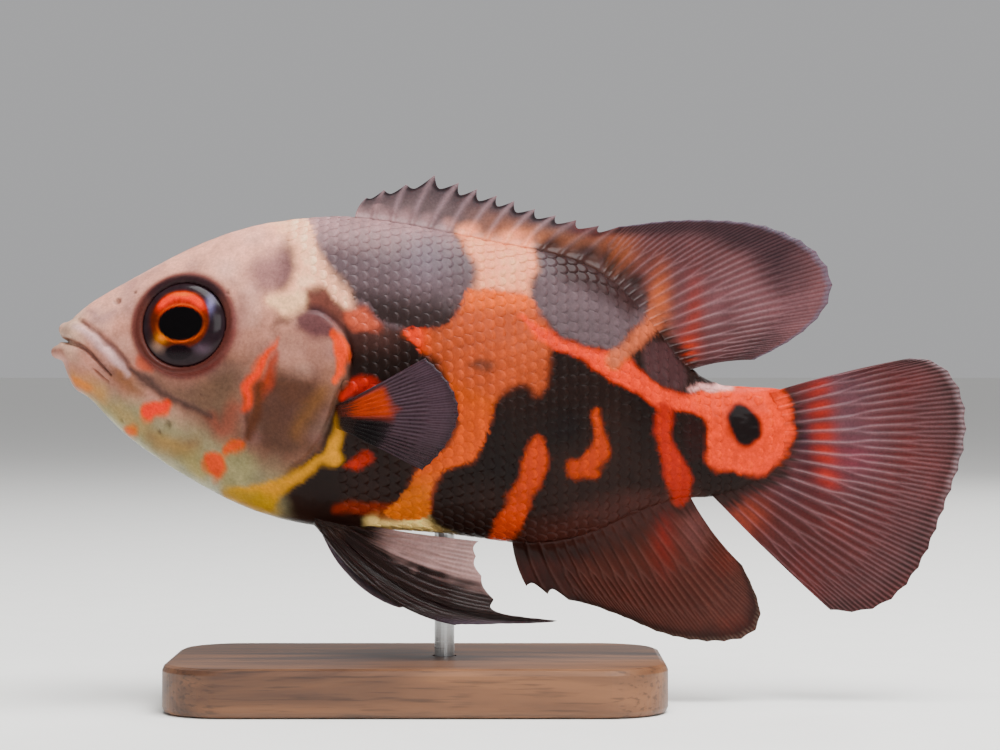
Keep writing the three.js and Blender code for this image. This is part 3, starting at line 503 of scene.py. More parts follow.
# Each mark: colour, softness of its edge in millimetres, strength, and then an outline in (s, z) or the stations
# of a brush stroke in (s, z, width). They are painted in this order.
MARKS = {
    "throat": ("#9c946f", 1.2, 0.85, [
        [4.2, 38.9], [7, 38.4], [9.8, 36.2], [13.9, 34.5], [16.1, 32.7], [19.8, 31.7], [24.2, 31.8], [25.7, 30.5],
        [25.3, 27.7], [22, 25], [16.1, 26], [11.1, 30], [7.3, 33]]),
    "throat_brown": ("#8c6646", 1.2, 0.75, [[13.2, 33.4, 1.4], [15.6, 32.2, 2.4], [18, 32.4, 1.6]]),
    "jaw_ochre": ("#c8905a", 1.2, 0.75, [[3.0, 41.4, 1.2], [5.0, 40.2, 1.8], [6.8, 38.9, 1.4]]),
    "jaw_corner": ("#85583f", 1.2, 0.9, [[8.4, 41.2, 1.6], [9.8, 40.4, 2.4], [11.4, 39.2, 1.4]]),
    "throat_lemon": ("#bfa468", 0.9, 0.3, [[14.6, 33, 1.2], [17.6, 31, 1.6], [19, 29, 1.4]]),
    "throat_pale": ("#b3b4a4", 0.9, 0.8, [[7.5, 35.4, 1.4], [12, 31.4, 1.8], [17, 28.2, 2.0], [22, 26.4, 1.8]]),
    "chin_amber": ("#c99a5e", 0.9, 0.3, [[8.5, 37.6, 1.2], [10.5, 35.6, 1.4], [12.6, 34.8, 1.2]]),
    "cheek_brown": ("#6a5243", 1.5, 0.85, [
        [13.3, 40.9], [16.2, 40.2], [20, 40.7], [22.5, 42.5], [24.4, 41.7], [24.1, 38.2], [22.8, 34.7], [19.9, 34.7],
        [17.4, 37.2], [14.9, 38.7]]),
    "cheek_red": ("#8d4c3e", 1.0, 0.75, [[20.6, 36, 1.6], [22, 34.2, 2.2], [23.6, 37.4, 1.8]]),
    "snout_dark": ("#8f7071", 0.7, 0.6, [[4.6, 49.2, 0.6], [7, 48.4, 1.0], [8.8, 49.2, 0.8]]),
    "temple_dark": ("#946a63", 1.0, 0.7, [[23.2, 46, 2.2], [24.6, 48.6, 2.0], [24.4, 50.6, 1.2]]),
    "saddle": (SLATE, 0.6, 1.0, [
        [31.6, 62.7], [32.3, 60.4], [33.3, 58.3], [34.2, 56], [35.5, 54.4], [36.8, 52.9], [37.9, 51.6], [38.3, 50.3],
        [40.1, 50.2], [41.3, 48.1], [43.5, 47.3], [46.5, 46.7], [49.9, 47.3], [51.3, 49.1], [52.3, 51.1],
        [53.2, 53.3], [52.8, 55.3], [51.6, 57.4], [50.7, 59.3], [49.8, 62.7]]),
    "peach": ("#f5a384", 0.9, 1.0, [
        [50.1, 62.7], [50.9, 59.3], [51.8, 57.4], [52.9, 55.3], [53.3, 53.1], [52.6, 51.3], [54.5, 50.7], [57, 50.3],
        [60.1, 50.3], [60.6, 52.5], [61.1, 55.4], [60.5, 57.5], [61.4, 62.7]]),
    "ochre": (RUST, 0.7, 1.0, [
        [52.7, 51.8], [56.4, 51.6], [60.1, 50.8], [61.7, 48.4], [63, 46.2], [63.1, 44.1], [62.7, 41.9], [62.1, 39.7],
        [61, 38.9], [59.5, 39.8], [57.9, 39.7], [56.4, 38.7], [55.5, 37.2], [55, 35.1], [54.4, 33.3], [53.4, 31.5],
        [52.2, 30.5], [50.2, 29.9], [49, 29.3], [48.1, 27.8], [47.5, 26], [47.2, 23.7], [43.9, 23.3], [42.1, 24.2],
        [43.7, 25.5], [45, 27.1], [45.9, 28.6], [47, 30.1], [48.5, 31.4], [50.2, 32.5], [51.2, 33.9], [51.5, 36],
        [51.1, 38.5], [50.2, 40.4], [49.4, 42.2], [48.5, 43.4], [47, 44.1], [45.8, 45.2], [44.7, 46.7], [47.2, 47],
        [49.9, 47.2], [51.2, 48.8], [52.2, 50.8]]),
    "ochre_spot": ("#6c3d30", 0.7, 0.9, [[53.6, 42.6, 1.7], [54.6, 42.2, 1.8]]),
    "grey_mid": (SLATE, 0.6, 1.0, [
        [60.2, 61.5], [60.9, 57.3], [63.9, 57.7], [67.7, 58.4], [69.4, 55.5], [69.7, 53.9], [71.5, 52.9], [74, 52.2],
        [75, 50.7], [74.9, 48.8], [73.9, 47.7], [72.1, 46.7], [71.1, 45.3], [70.3, 44.2], [68.8, 44.8], [66.9, 45.3],
        [65.1, 46], [63.3, 47.1], [62, 48.4], [60.9, 49.6], [60.4, 51.2], [61, 53.4], [61.1, 55.4]]),
    "grey_mid_dark": ("#2e1917", 1.2, 0.9, [
        [61.4, 60], [68.6, 58], [69.6, 54.4], [74, 52.6], [74.8, 50.5], [72.6, 48.6], [70, 50.6], [66.6, 52.4],
        [63.4, 54]]),
    "diagonal": ("#e34c1b", 0.45, 1.0, [
        [59.1, 48.1, 0.8], [61.3, 46.6, 1.6], [63.8, 45.5, 1.5], [66.3, 44.3, 1.6], [68.8, 42.9, 2.8],
        [71.3, 41.8, 3.3], [73.8, 40.3, 2.8], [75.7, 38.7, 2.5], [77.9, 37.9, 2.5], [80.1, 37.8, 2.1],
        [82.9, 37.9, 2.5]]),
    "branch": ("#b9664d", 0.5, 1.0, [
        [70.3, 42.9, 2], [71.8, 44.7, 2], [73.6, 46.2, 1.8], [75.5, 48, 1.8], [76.5, 50.2, 2], [76.2, 52.5, 2.3],
        [75.8, 54.5, 1.8]]),
    "anal_root": ("#43241f", 1.8, 0.85, [
        [58.5, 21.5, 1.5], [63, 21.5, 4], [68, 22.6, 5], [73, 24, 5], [77.5, 25.5, 3.5], [80.5, 25.8, 2]]),
    "grey_rear": ("#432b2c", 0.5, 1.0, [[76.2, 43.9, 4.2], [77.2, 42, 4.4], [78.6, 40.8, 2.8]]),
    "peduncle": (ORANGE, 0.5, 1.0, [
        [80.1, 38.7], [82.1, 38.9], [84.3, 39.7], [87.2, 41.5], [90.4, 41.5], [92.4, 39], [93.1, 35.6], [93.1, 33.1],
        [92.2, 30.6], [90.3, 29], [87.7, 28.5], [85.2, 29], [82.9, 29.4], [82.3, 31.3], [82.1, 33.8], [82.1, 36.3],
        [80.9, 36.9]]),
    "stripe_rear": ("#aa3209", 0.4, 1.0, [
        [76.8, 36.7, 2], [76.7, 34.2, 2], [77, 32.2, 2.3], [77.7, 30.4, 2.8], [78.6, 28.8, 2.8], [79.2, 26.9, 2.5],
        [79.2, 25.3, 1.5]]),
    "comma": ("#b24409", 0.4, 1.0, [
        [68.4, 36.8, 0.9], [68.8, 35.2, 1], [68.8, 33.2, 1.3], [68.6, 31.7, 2.5], [67.6, 30.2, 2.8],
        [66.3, 29.2, 2.3], [65.3, 29.9, 1.3]]),
    "stripe_belly": ("#b84608", 0.4, 1.0, [
        [61, 32.9, 1.5], [60.8, 31, 2.8], [60.6, 29.4, 2.8], [59.7, 27.4, 2.5], [58.9, 25.8, 2.5], [58, 23.9, 2.5],
        [57, 21.9, 2.5], [55.9, 20.1, 1.8]]),
    "spot_peduncle": ("#220c0a", 0.4, 1.0, [[80.6, 34.6, 2.4], [80.9, 32.6, 2.6], [80.9, 30.9, 1.6]]),
    "tail_white": ("#e2aaa6", 0.35, 0.9, [[80.4, 39.7, 0.5], [82.6, 39.7, 0.9], [84.8, 40, 0.8], [86.6, 40.6, 0.3]]),
    "ocellus": ("#120606", 0.5, 1.0, [
        [85.6, 37.7], [86.6, 37.7], [88, 36.7], [88.9, 35.4], [89.1, 33.6], [88.2, 32.3], [86.7, 32], [85.4, 32.8],
        [84.8, 33.9], [84.7, 35.7], [85.1, 36.9]]),
    "belly_cream": ("#f2d698", 0.7, 0.95, [
        [40.4, 23.4], [43.3, 23.9], [46.2, 24.3], [47.1, 23.7], [47.8, 22.7], [49, 21.7], [50.6, 21.2], [50.6, 18],
        [40.3, 18]]),
    "redbrown": ("#7a2a10", 0.5, 0.9, [
        [35.6, 25], [37.8, 25.5], [40.9, 25.1], [44, 24.6], [46.4, 23.8], [43.3, 23.3], [40.2, 23.6], [37.1, 23.8],
        [35.4, 23.8]]),
    "yellow_band": ("#d39a3c", 0.5, 1.0, [
        [21.9, 26.4], [24.4, 27.3], [26.8, 28], [29.8, 29], [32.3, 30.4], [34.2, 32], [35.5, 33.9], [36.3, 36.4],
        [36.8, 34.5], [36.8, 32], [36.4, 30.6], [34.4, 30.1], [32.3, 28.9], [30.3, 27.3], [28.5, 25.7], [26.8, 23.8],
        [23.7, 23]]),
    "breast_pale": ("#ae8c46", 0.9, 0.9, [
        [21.5, 27], [24.5, 27], [27.3, 26.6], [28.6, 25.2], [27.4, 22.5], [22, 22.5]]),
    "red_low": ("#ad3312", 0.35, 1.0, [[37.1, 30.1, 0.5], [38.6, 30.4, 1.4], [40.1, 31.2, 1.1]]),
    "red_pectoral": ("#b8320f", 0.5, 1.0, [[36.9, 38.5, 1], [38.2, 39.7, 1.8], [39.9, 39.9, 1.8], [41.4, 39.2, 1]]),
    "nape_blotch": ("#97706f", 1.6, 0.85, [
        [25.5, 52.4], [24.9, 54.3], [25.9, 55.9], [27.6, 56.9], [29.3, 57.1], [30.4, 55.8], [31, 54], [30.5, 52.8],
        [29, 51.7], [27, 51.2]]),
    "nape_band": ("#ffc3a6", 0.9, 1.0, [
        [27.2, 62], [32.3, 62], [33.4, 58.1], [34.4, 55.5], [35.9, 53.8], [37.4, 52.1], [38.3, 50.5], [38.2, 49.4],
        [36.7, 50.3], [35.2, 51.8], [33.9, 52.5], [32.4, 51], [32.9, 50], [31.4, 48.9], [28.3, 48.9], [27, 50.2],
        [28.6, 51], [30.5, 52.4], [31.2, 54.3], [30.5, 56.3], [29.3, 58.1], [27.6, 59.7]]),
    "cream": ("#ffd3ae", 0.6, 1.0, [[27.3, 50.3], [29, 50.9], [31.7, 51.3], [33, 50.9], [31.8, 49.3], [28.3, 49.1]]),
    "brown_above": ("#74473f", 0.5, 0.95, [
        [33.3, 51.3], [34.8, 52.3], [35.9, 50.9], [36.8, 49.3], [37.2, 47.3], [36.1, 47.3], [34.8, 49.3],
        [33.1, 50.2]]),
    "red_nape": ("#b65a48", 0.6, 1.0, [
        [37.1, 49.5], [39.4, 50.2], [40.6, 49.2], [41.8, 47.4], [39.8, 46.8], [37.9, 47.3]]),
    "oper_mauve": ("#5d3b40", 1.0, 0.9, [
        [31.3, 49], [34, 49.8], [35.7, 48.3], [36.7, 46.3], [35.5, 45.6], [33.3, 45.6], [31.5, 46.8]]),
    "oper_pale": ("#b98a7c", 1.1, 0.9, [[28.8, 45], [30.6, 46.5], [32.3, 45], [31.8, 42.9], [29.8, 42.2]]),
    "oper_brown": ("#4f3328", 1.6, 0.85, [
        [27, 41], [31, 41.5], [34, 40.5], [34.5, 36.5], [32, 32.5], [28, 31], [26, 34], [25.6, 38]]),
    "oper_orange": ("#8c6136", 1.2, 0.45, [[31.4, 34.6, 1.6], [33, 37, 1.4], [34.4, 39.6, 1.0]]),
    "oper_streak_dark": ("#a8412f", 0.6, 0.85, [
        [28.9, 43.9, 0.3], [28.4, 42.4, 1.0], [27.8, 40.8, 1.2], [26.9, 39.2, 0.9], [26.2, 38.1, 0.4]]),
    "oper_streak": ("#e24a26", 0.5, 1.0, [
        [29.3, 45.8, 0.2], [27.9, 43.9, 0.8], [26.7, 42.4, 1.2], [25.8, 40.5, 1.3], [25.2, 38.6, 1.0],
        [24.7, 36.9, 0.4]]),
    "oper_rim": ("#e8552c", 0.35, 1.0, [
        [35.9, 46.1, 1], [36.9, 45.1, 1.6], [37.1, 43.6, 1.6], [36.5, 41.9, 1.1], [35.9, 40.7, 0.6]]),
    "preoper_dark": ("#57301f", 0.5, 0.95, [
        [27.1, 39.9, 0.6], [26.3, 38, 1.2], [25.7, 35.7, 1.5], [25.4, 33.6, 0.9]]),
    "spot_cheek": ("#e6440c", 0.5, 1.0, [
        [11.8, 36.9], [12.6, 37.6], [14.2, 37.8], [15.6, 37.9], [15.5, 36.9], [14.6, 36], [13.3, 35.2],
        [12.1, 35.5]]),
    "spot_chin": ("#d86c28", 0.5, 1.0, [[9.6, 34.7], [10.6, 35.2], [11.5, 34.7], [10.8, 33.5], [9.7, 33.6]]),
    "spot_throat": ("#d65416", 0.5, 1.0, [
        [19.6, 31], [21.2, 31.4], [22.5, 30.7], [22.3, 29.2], [21.2, 27.9], [19.9, 28.9]]),
    "spot_preop": ("#d85a1a", 0.45, 1.0, [
        [22.2, 31.7], [23.2, 32.9], [24.5, 33.3], [25, 32.5], [24, 31.6], [22.7, 31.1]]),
    "spot_under_eye": ("#c55a42", 0.4, 0.8, [[11.6, 43.1], [12.6, 43.5], [13.3, 42.5], [12.8, 41.5], [11.8, 41.8]]),
    "spot_jaw": ("#d08148", 0.4, 0.8, [[2.9, 41.2], [4.5, 40.8], [5.8, 39.8], [4.6, 39.3], [3.3, 39.9]]),
    # A pale stroke along the top of the upper lip: a painted highlight where the lip faces up.
    "maxilla_highlight": ("#c4a5a4", 0.45, 0.75, [
        [3.2, 47.2, 0.5], [5.0, 46.4, 1.0], [6.6, 45.2, 1.2], [8.0, 43.6, 1.3], [9.3, 42, 1.1], [9.9, 41.3, 0.7]]),
    # Dark strokes along the gape and along the maxilla and cheek grooves: painted shade in the mouth slit and in the
    # creases.
    "gape_shade": ("#7a5650", 0.4, 0.8, [
        [1.2, 45.7, 0.35], [3.3, 45.2, 0.4], [4.9, 44.4, 0.45], [6.4, 42.9, 0.5], [8.1, 41.3, 0.4]]),
    "maxilla_groove_shade": ("#76534f", 0.4, 0.75, [
        [4.2, 47.8, 0.2], [5.6, 47, 0.4], [7.3, 45.7, 0.5], [8.9, 44, 0.6], [10.5, 41.9, 0.6]]),
    "cheek_groove_shade": ("#533c38", 0.5, 0.9, [
        [10.5, 41.9, 0.6], [12, 40.9, 1.1], [13.4, 39.7, 1.2], [15.6, 38.4, 1.0], [17.7, 37.5, 0.9],
        [20.3, 36.3, 0.5]]),
}

# %% The rule that colours any place on the fish
# Noise that ruffles the edges of the marks: size in millimetres, seed, reach in millimetres
EDGE_NOISE = ((4.5, 25, 0.4), (1.9, 21, 0.42), (0.8, 23, 0.2))
# Farther than this from its line a mark has no colour, in millimetres
MARK_REACH = 5


def layered(colours, layers):
    """Paint in layers over linear colours: each layer has its own colour, and the share of it at every place."""
    for code, share in layers:
        colours = colours + (linear(code) - colours) * np.asarray(share)[:, None]
    return colours


def ground(s, z, places):
    """The coat under the patches: pale head, mauve cheek, khaki throat, black flank and slate back."""
    middle, up, down, *_ = section_at(s)
    level = (z - middle) / np.maximum(up, 1)
    body = smooth_step(-0.5, 0.9, outline_distance(np.stack([s, z], axis=-1), gill_line)) * smooth_step(28, 31, s)
    body = np.maximum(body, smooth_step(37.4, 38.2, s))
    head = 1 - body
    return layered(linear(FACE), (
        (FOREHEAD, smooth_step(0.15, 0.75, level)),
        (CHEEK, smooth_step(14, 22, s) * smooth_step(0.35, -0.2, level)),
        (CHIN, smooth_step(-0.55, -0.85, level) * smooth_step(4, 7, s)),
        ("#d8b7a2", smooth_step(5.5, 3, s) * smooth_step(-0.6, 0.2, level)),
        (BLACK, body),
        ("#2d1a15", body * (0.5 + 0.5 * noise(places, 5, 11)) * 0.7),
        ("#dcb3a6", head * np.clip(noise(places, 3.2, 12), 0, 1) * 0.7 * smooth_step(-0.3, 0.2, level)),
        ("#8a6a6c", head * np.clip(noise(places, 2.6, 13), 0, 1) * 0.5),
        ("#7d7a66", head * np.clip(noise(places, 2.2, 14), 0, 1) * 0.5 * smooth_step(-0.1, -0.5, level)),
        ("#4a302c", body * smooth_step(0.1, 0.35, level) * smooth_step(46, 42, s)),
    ))


def coat_colours(places):
    """Linear colours for rows of (s, y, z), the same on both sides of the fish."""
    places = np.column_stack([places[:, 0], np.abs(places[:, 1]), places[:, 2]])
    side = places[:, [0, 2]] + sum(
        np.column_stack([noise(places, size, seed), noise(places, size, seed + 1)]) * reach
        for size, seed, reach in EDGE_NOISE)
    colours = ground(side[:, 0], side[:, 1], places)
    for code, soft, strength, rows in MARKS.values():
        closed = len(rows[0]) == 2
        line = smooth_line(rows, 3, closed)
        low, high = line[:, :2].min(axis=0) - MARK_REACH, line[:, :2].max(axis=0) + MARK_REACH
        near = np.all((side > low) & (side < high), axis=1)
        distance = outline_distance(side[near], line) if closed else to_tube(side[near], line * (1, 1, 0.5))
        colours[near] = layered(colours[near], [(code, smooth_step(soft, -soft, distance) * strength)])
    colours = shade_marks(colours, places)
    mottle = 1 + 0.12 * noise(places, 2.4, 33) + 0.11 * noise(places, 1.1, 31) + 0.07 * noise(places, 0.45, 32)
    return np.clip(colours * mottle[:, None], 0.002, 1)


def inside_mark(places, name, margin):
    return outline_distance(places[:, [0, 2]], smooth_line(MARKS[name][3], 3, closed=True)) < margin


def shade_marks(colours, places):
    """Slow changes inside marks: blue-grey and dark lower edge in the saddle, amber feet of the bands."""
    s, _, z = places.T
    saddle, ochre = inside_mark(places, "saddle", -0.2), inside_mark(places, "ochre", 0.1)
    blue = np.exp(-((s - 47.5) / 3) ** 2 - ((z - 55.8) / 3) ** 2)
    return layered(colours, (
        (SLATE_PALE, saddle * 0.75 * smooth_step(55, 60, z)),
        ("#76676f", saddle * 0.7 * blue),
        (SLATE_DARK, saddle * 0.92 * smooth_step(53.6, 48.6, z + 0.12 * (s - 44))),
        ("#dd6a40", ochre * 0.8 * smooth_step(48.5, 50.5, z)),
        ("#e04a22", ochre * 0.9 * smooth_step(48.5, 46, s) * smooth_step(43, 45, z)),
        ("#cb5a22", ochre * 0.9 * smooth_step(41.5, 36, z + 0.5 * (s - 52))),
        ("#c26c0e", ochre * 0.9 * smooth_step(31, 26, z)),
    ))


def mixed_deeper(colours):
    """Lamps and lacquer wash a colour out, so the paint is mixed deeper and purer than it is to look."""
    grey = colours @ np.array([0.21, 0.72, 0.07])
    pure = np.clip(grey[:, None] + (colours - grey[:, None]) * 1.24, 0.001, 1)
    palest = pure.min(axis=1, keepdims=True)
    return pure * np.clip(0.6 + 0.11 * pure ** 2 + 1.2 * palest ** 2, 0, 0.98)


def paint(obj, colours):
    """Stores a linear colour for every vertex of a piece."""
    layer = obj.data.color_attributes.new("coat", "FLOAT_COLOR", "POINT")
    layer.data.foreach_set("color", np.column_stack([mixed_deeper(colours), np.ones(len(colours))]).ravel())


def skin_colours(places):
    """The coat, with the darker rim of the orbit, which follows the eye's own frame."""
    mirrored = np.column_stack([places[:, 0], -np.abs(places[:, 1]), places[:, 2]])
    forward, up, out = ((mirrored - eye_centre) @ eye_axes.T).T
    ring, on_head = np.hypot(forward, up), np.abs(out) < 4
    inner = smooth_step(6.5, 5.95, ring) * on_head
    colours = layered(coat_colours(places), (
        ("#6b3734", 0.9 * np.exp(-((ring - 6.35) / 0.5) ** 2) * on_head),
        ("#4a221e", 0.94 * inner),
        ("#261b20", 0.85 * inner * smooth_step(0.3, 0.8, up / np.maximum(ring, 1e-3))),
    ))
    # The pits of the pores and the nostril are painted darker: painted shade in the pits.
    reaches = [np.linalg.norm(mirrored - pore[:3], axis=1) / pore[3] for pore in pores]
    return layered(colours, [("#33211d", 0.85 * smooth_step(1.25, 0.7, reach)) for reach in reaches])


paint(skin, skin_colours(coordinates(skin) / MM + (TOTAL_LENGTH / 2, 0, 0)))
print("Marks in the coat:", len(MARKS))

# %% [markdown]
# ## Scales
# Each scale is a small rounded plate whose front is buried and whose rear edge lies over the next one. One scale
# is modelled from a circle: inset to make a low dome, and closed with a foot below. It is then copied about two
# thousand times in staggered rows over the trunk, and every copy takes the coat's colour where it grows.

# %% One scale
SCALE_LENGTH, SCALE_WIDTH, SCALE_LIFT = 2.2, 1.78, 0.055
ROW_STEP, GIRTH_STEP = 1.3, 1.34
SCALE_SIDES = 12

bpy.ops.object.select_all(action="DESELECT")
bpy.ops.mesh.primitive_circle_add(vertices=SCALE_SIDES, radius=1, fill_type="NGON")
pattern = bpy.context.object
bpy.ops.object.mode_set(mode="EDIT")
bpy.ops.mesh.select_all(action="SELECT")
bpy.ops.mesh.inset(thickness=0.42, depth=0)
bpy.ops.mesh.poke()
bpy.ops.object.mode_set(mode="OBJECT")
dome = coordinates(pattern)
dome_radius = np.hypot(dome[:, 0], dome[:, 1])
scale_faces = [list(face.vertices) for face in pattern.data.polygons]
bpy.data.objects.remove(pattern, do_unlink=True)
rim = [i for i in np.argsort(np.arctan2(dome[:, 1], dome[:, 0])) if dome_radius[i] > 0.99]
foot = [len(dome) + i for i in range(SCALE_SIDES)]
scale_faces += [[rim[i - 1], foot[i - 1], foot[i], rim[i]] for i in range(SCALE_SIDES)] + [foot[::-1]]
scale_plan = np.vstack([dome, dome[rim]])[:, :2]
scale_rise = np.concatenate([0.03 * (1 - dome_radius ** 2), np.full(SCALE_SIDES, -0.09)])
print("One scale:", len(scale_plan), "vertices,", len(scale_faces), "faces")

# %% Rows of scales on both flanks


def scale_roots():
    """Where scales grow on the left side, as rows of (s, angle)."""
    roots = []
    for row, s in enumerate(np.arange(27.5, 91.6, ROW_STEP)):
        fine = np.linspace(0, math.pi, 400)
        ring = body_places(np.full(400, s), fine)
        girth = np.concatenate([[0], np.cumsum(np.linalg.norm(np.diff(ring, axis=0), axis=1))])
        step = GIRTH_STEP * (0.82 if s > 78 else 1)
        for travel in np.arange(step * (0.35 + 0.5 * (row % 2)), girth[-1] - 0.3, step):
            roots.append((s, np.interp(travel, girth, fine)))
    return np.array(roots)


def scaled_area(places):
    """True where scales grow: behind the nape and the gill cover, and clear of the fins' roots."""
    s, y, z = places.T
    clear_of_gill = outline_distance(places[:, [0, 2]], gill_line) > 1.1
    behind_head = s > 35.4 - 0.55 * np.clip(z - 49, 0, 12)
    below = np.where(z < 32, s > 27 + 0.6 * (32 - z), True)
    off_lobe = np.hypot((s - PECTORAL_ROOT[0] - 0.8) / 2.2, (z - PECTORAL_ROOT[1]) / 3.1) > 1
    off_back = np.where((s > 37) & (z > 38), np.abs(y) > 0.75, True)
    off_belly = np.where((s > 56) & (z < 30), np.abs(y) > 0.7, True)
    off_pelvic = ~((s > 31.5) & (s < 40) & (z < 24))
    before_fin = behind_caudal_base(s, z) < -2.2
    off_ocellus = np.hypot((s - 86.8) / 3.1, (z - 34.8) / 3.8) > 1
    return (
        clear_of_gill & behind_head & below & off_lobe & off_back & off_belly & off_pelvic & before_fin & off_ocellus)


def lay_bake_map(obj, roots, side):
    """Each scale is a patch about 0.003 across at its root's place on an unwrap of the skin."""
    u = 0.01 + 0.98 * (roots[:, 0] - BODY_START) / (BODY_END - BODY_START)
    v = 0.01 + 0.47 * roots[:, 1] / math.pi + (0.5 if side == RIGHT else 0)
    spots = np.stack([u, v], axis=-1)[:, None] + scale_plan * 0.0015
    corners = np.empty(len(obj.data.loops), int)
    obj.data.loops.foreach_get("vertex_index", corners)
    obj.data.uv_layers.new(name="OFBake").data.foreach_set("uv", spots.reshape(-1, 2)[corners].ravel())


def make_scales(side_name, side):
    """One joined mesh of the scales on one side, each laid along the body and out from it."""
    roots = scale_roots()
    roots = roots[scaled_area(body_places(*roots.T))]
    s, angle = roots.T
    centre = body_places(s, angle)
    back = unit(body_places(s + 0.3, angle) - body_places(s - 0.3, angle))
    down = unit(body_places(s, angle + 0.03) - body_places(s, angle - 0.03))
    out = unit(np.cross(down, back))
    out *= np.sign((out * (centre - np.column_stack([s, 0 * s, 0 * s + 40]))).sum(axis=1))[:, None]
    size = (1 + 0.06 * noise(centre, 0.7, 41)) * (1 - 0.25 * smooth_step(72, 84, s))
    x = scale_plan[:, 0] * (SCALE_LENGTH * size)[:, None] / 2
    y = scale_plan[:, 1] * (SCALE_WIDTH * size)[:, None] / 2
    share = (scale_plan[:, 0] + 1) / 2
    lift = -0.1 + (SCALE_LIFT + 0.1) * share + scale_rise - ((y ** 2) * 0.03 + (x ** 2) * 0.012)
    flat = centre[:, None] + back[:, None] * x[..., None] + down[:, None] * y[..., None]
    places = (flat + out[:, None] * lift[..., None]).reshape(-1, 3) * (1, -side, 1)
    faces = [[index + k * len(scale_plan) for index in face] for k in range(len(roots)) for face in scale_faces]
    if side == RIGHT:
        faces = [face[::-1] for face in faces]
    mesh = bpy.data.meshes.new("scales_" + side_name)
    mesh.from_pydata(to_metres(places), [], faces)
    obj = bpy.data.objects.new(mesh.name, mesh)
    bpy.context.collection.objects.link(obj)
    # Each scale is painted lighter at its raised rear rim, a painted highlight, and darker at its front, painted
    # shade under the rim of the scale ahead.
    edge = np.tile(smooth_step(0.45, 1.0, share) - 0.8 * smooth_step(0.4, 0.0, share), len(roots))[:, None]
    colours = coat_colours(flat.reshape(-1, 3)) * (1 + 0.2 * edge) + 0.004 * np.clip(edge, 0, 1)
    paint(obj, np.clip(colours, 0.002, 1))
    lay_bake_map(obj, roots, side)
    clean_mesh(obj)
    print("Scales on the", side_name, "side:", len(roots))
    return obj


scales = {side_name: make_scales(side_name, side) for side_name, side in SIDES.items()}

# %% [markdown]
# ## Fins
# A fin is a thin skin between bony rays. The spiny rays of the back are single and sharp; soft rays split in two
# and again in two towards the margin. The sheet starts as a grid whose columns run along the rays. A vertex group
# says how thick the sheet is at each vertex, and a Solidify modifier turns that into ridges on both faces.

# %% A fin from its rays
ROOT_DEPTH = 0.9


def between_rays(rows, place, straight):
    """Rows of a table of rays at fractional places: straight between spines, smooth between soft rays."""
    last = len(rows) - 1
    i = np.clip(np.floor(place + 1e-6).astype(int), 0, last - 1)
    t = np.clip(place - i, 0, 1)[:, None]
    a, b, c, d = (rows[np.clip(i + j, 0, last)] for j in (-1, 0, 1, 2))
    return np.where(straight[:, None], b + (c - b) * t, curve_between(a, b, c, d, t))


def ray_places(root, tip, bend, v):
    """Places at shares v of the rays' curves. Below 0 a ray runs on into the flesh."""
    middle = (root + tip) / 2 + bend
    t = np.clip(v, 0, None)[:, None]
    curve = (1 - t) ** 2 * root + 2 * t * (1 - t) * middle + t * t * tip
    length = np.linalg.norm(tip - root, axis=1, keepdims=True)
    return curve + unit(root - middle) * (-np.clip(v, None, 0))[:, None] * length


def ridge(across, centre, width):
    return np.exp(-((across - centre) / width) ** 2)


def ray_pattern(part, v, spiny):
    """How much of a bony ray lies at each place, 0 to 1. Soft rays fork once, and again near the margin."""
    off = np.minimum(part, 1 - part)
    signed = np.where(part > 0.5, part - 1, part)
    first, second = smooth_step(0.28, 0.5, v), smooth_step(0.6, 0.8, v)
    fork, spread = 0.25 * first, 0.125 * second
    single = ridge(off, 0, 0.15)
    double = np.maximum(ridge(signed, fork, 0.1), ridge(signed, -fork, 0.1))
    ends = [fork * first_side + spread * second_side for first_side in (-1, 1) for second_side in (-1, 1)]
    four = np.max([ridge(signed, end, 0.06) for end in ends], axis=0)
    soft = single * (1 - first) + (double * (1 - second) + four * second) * first
    return np.where(spiny, single, soft)


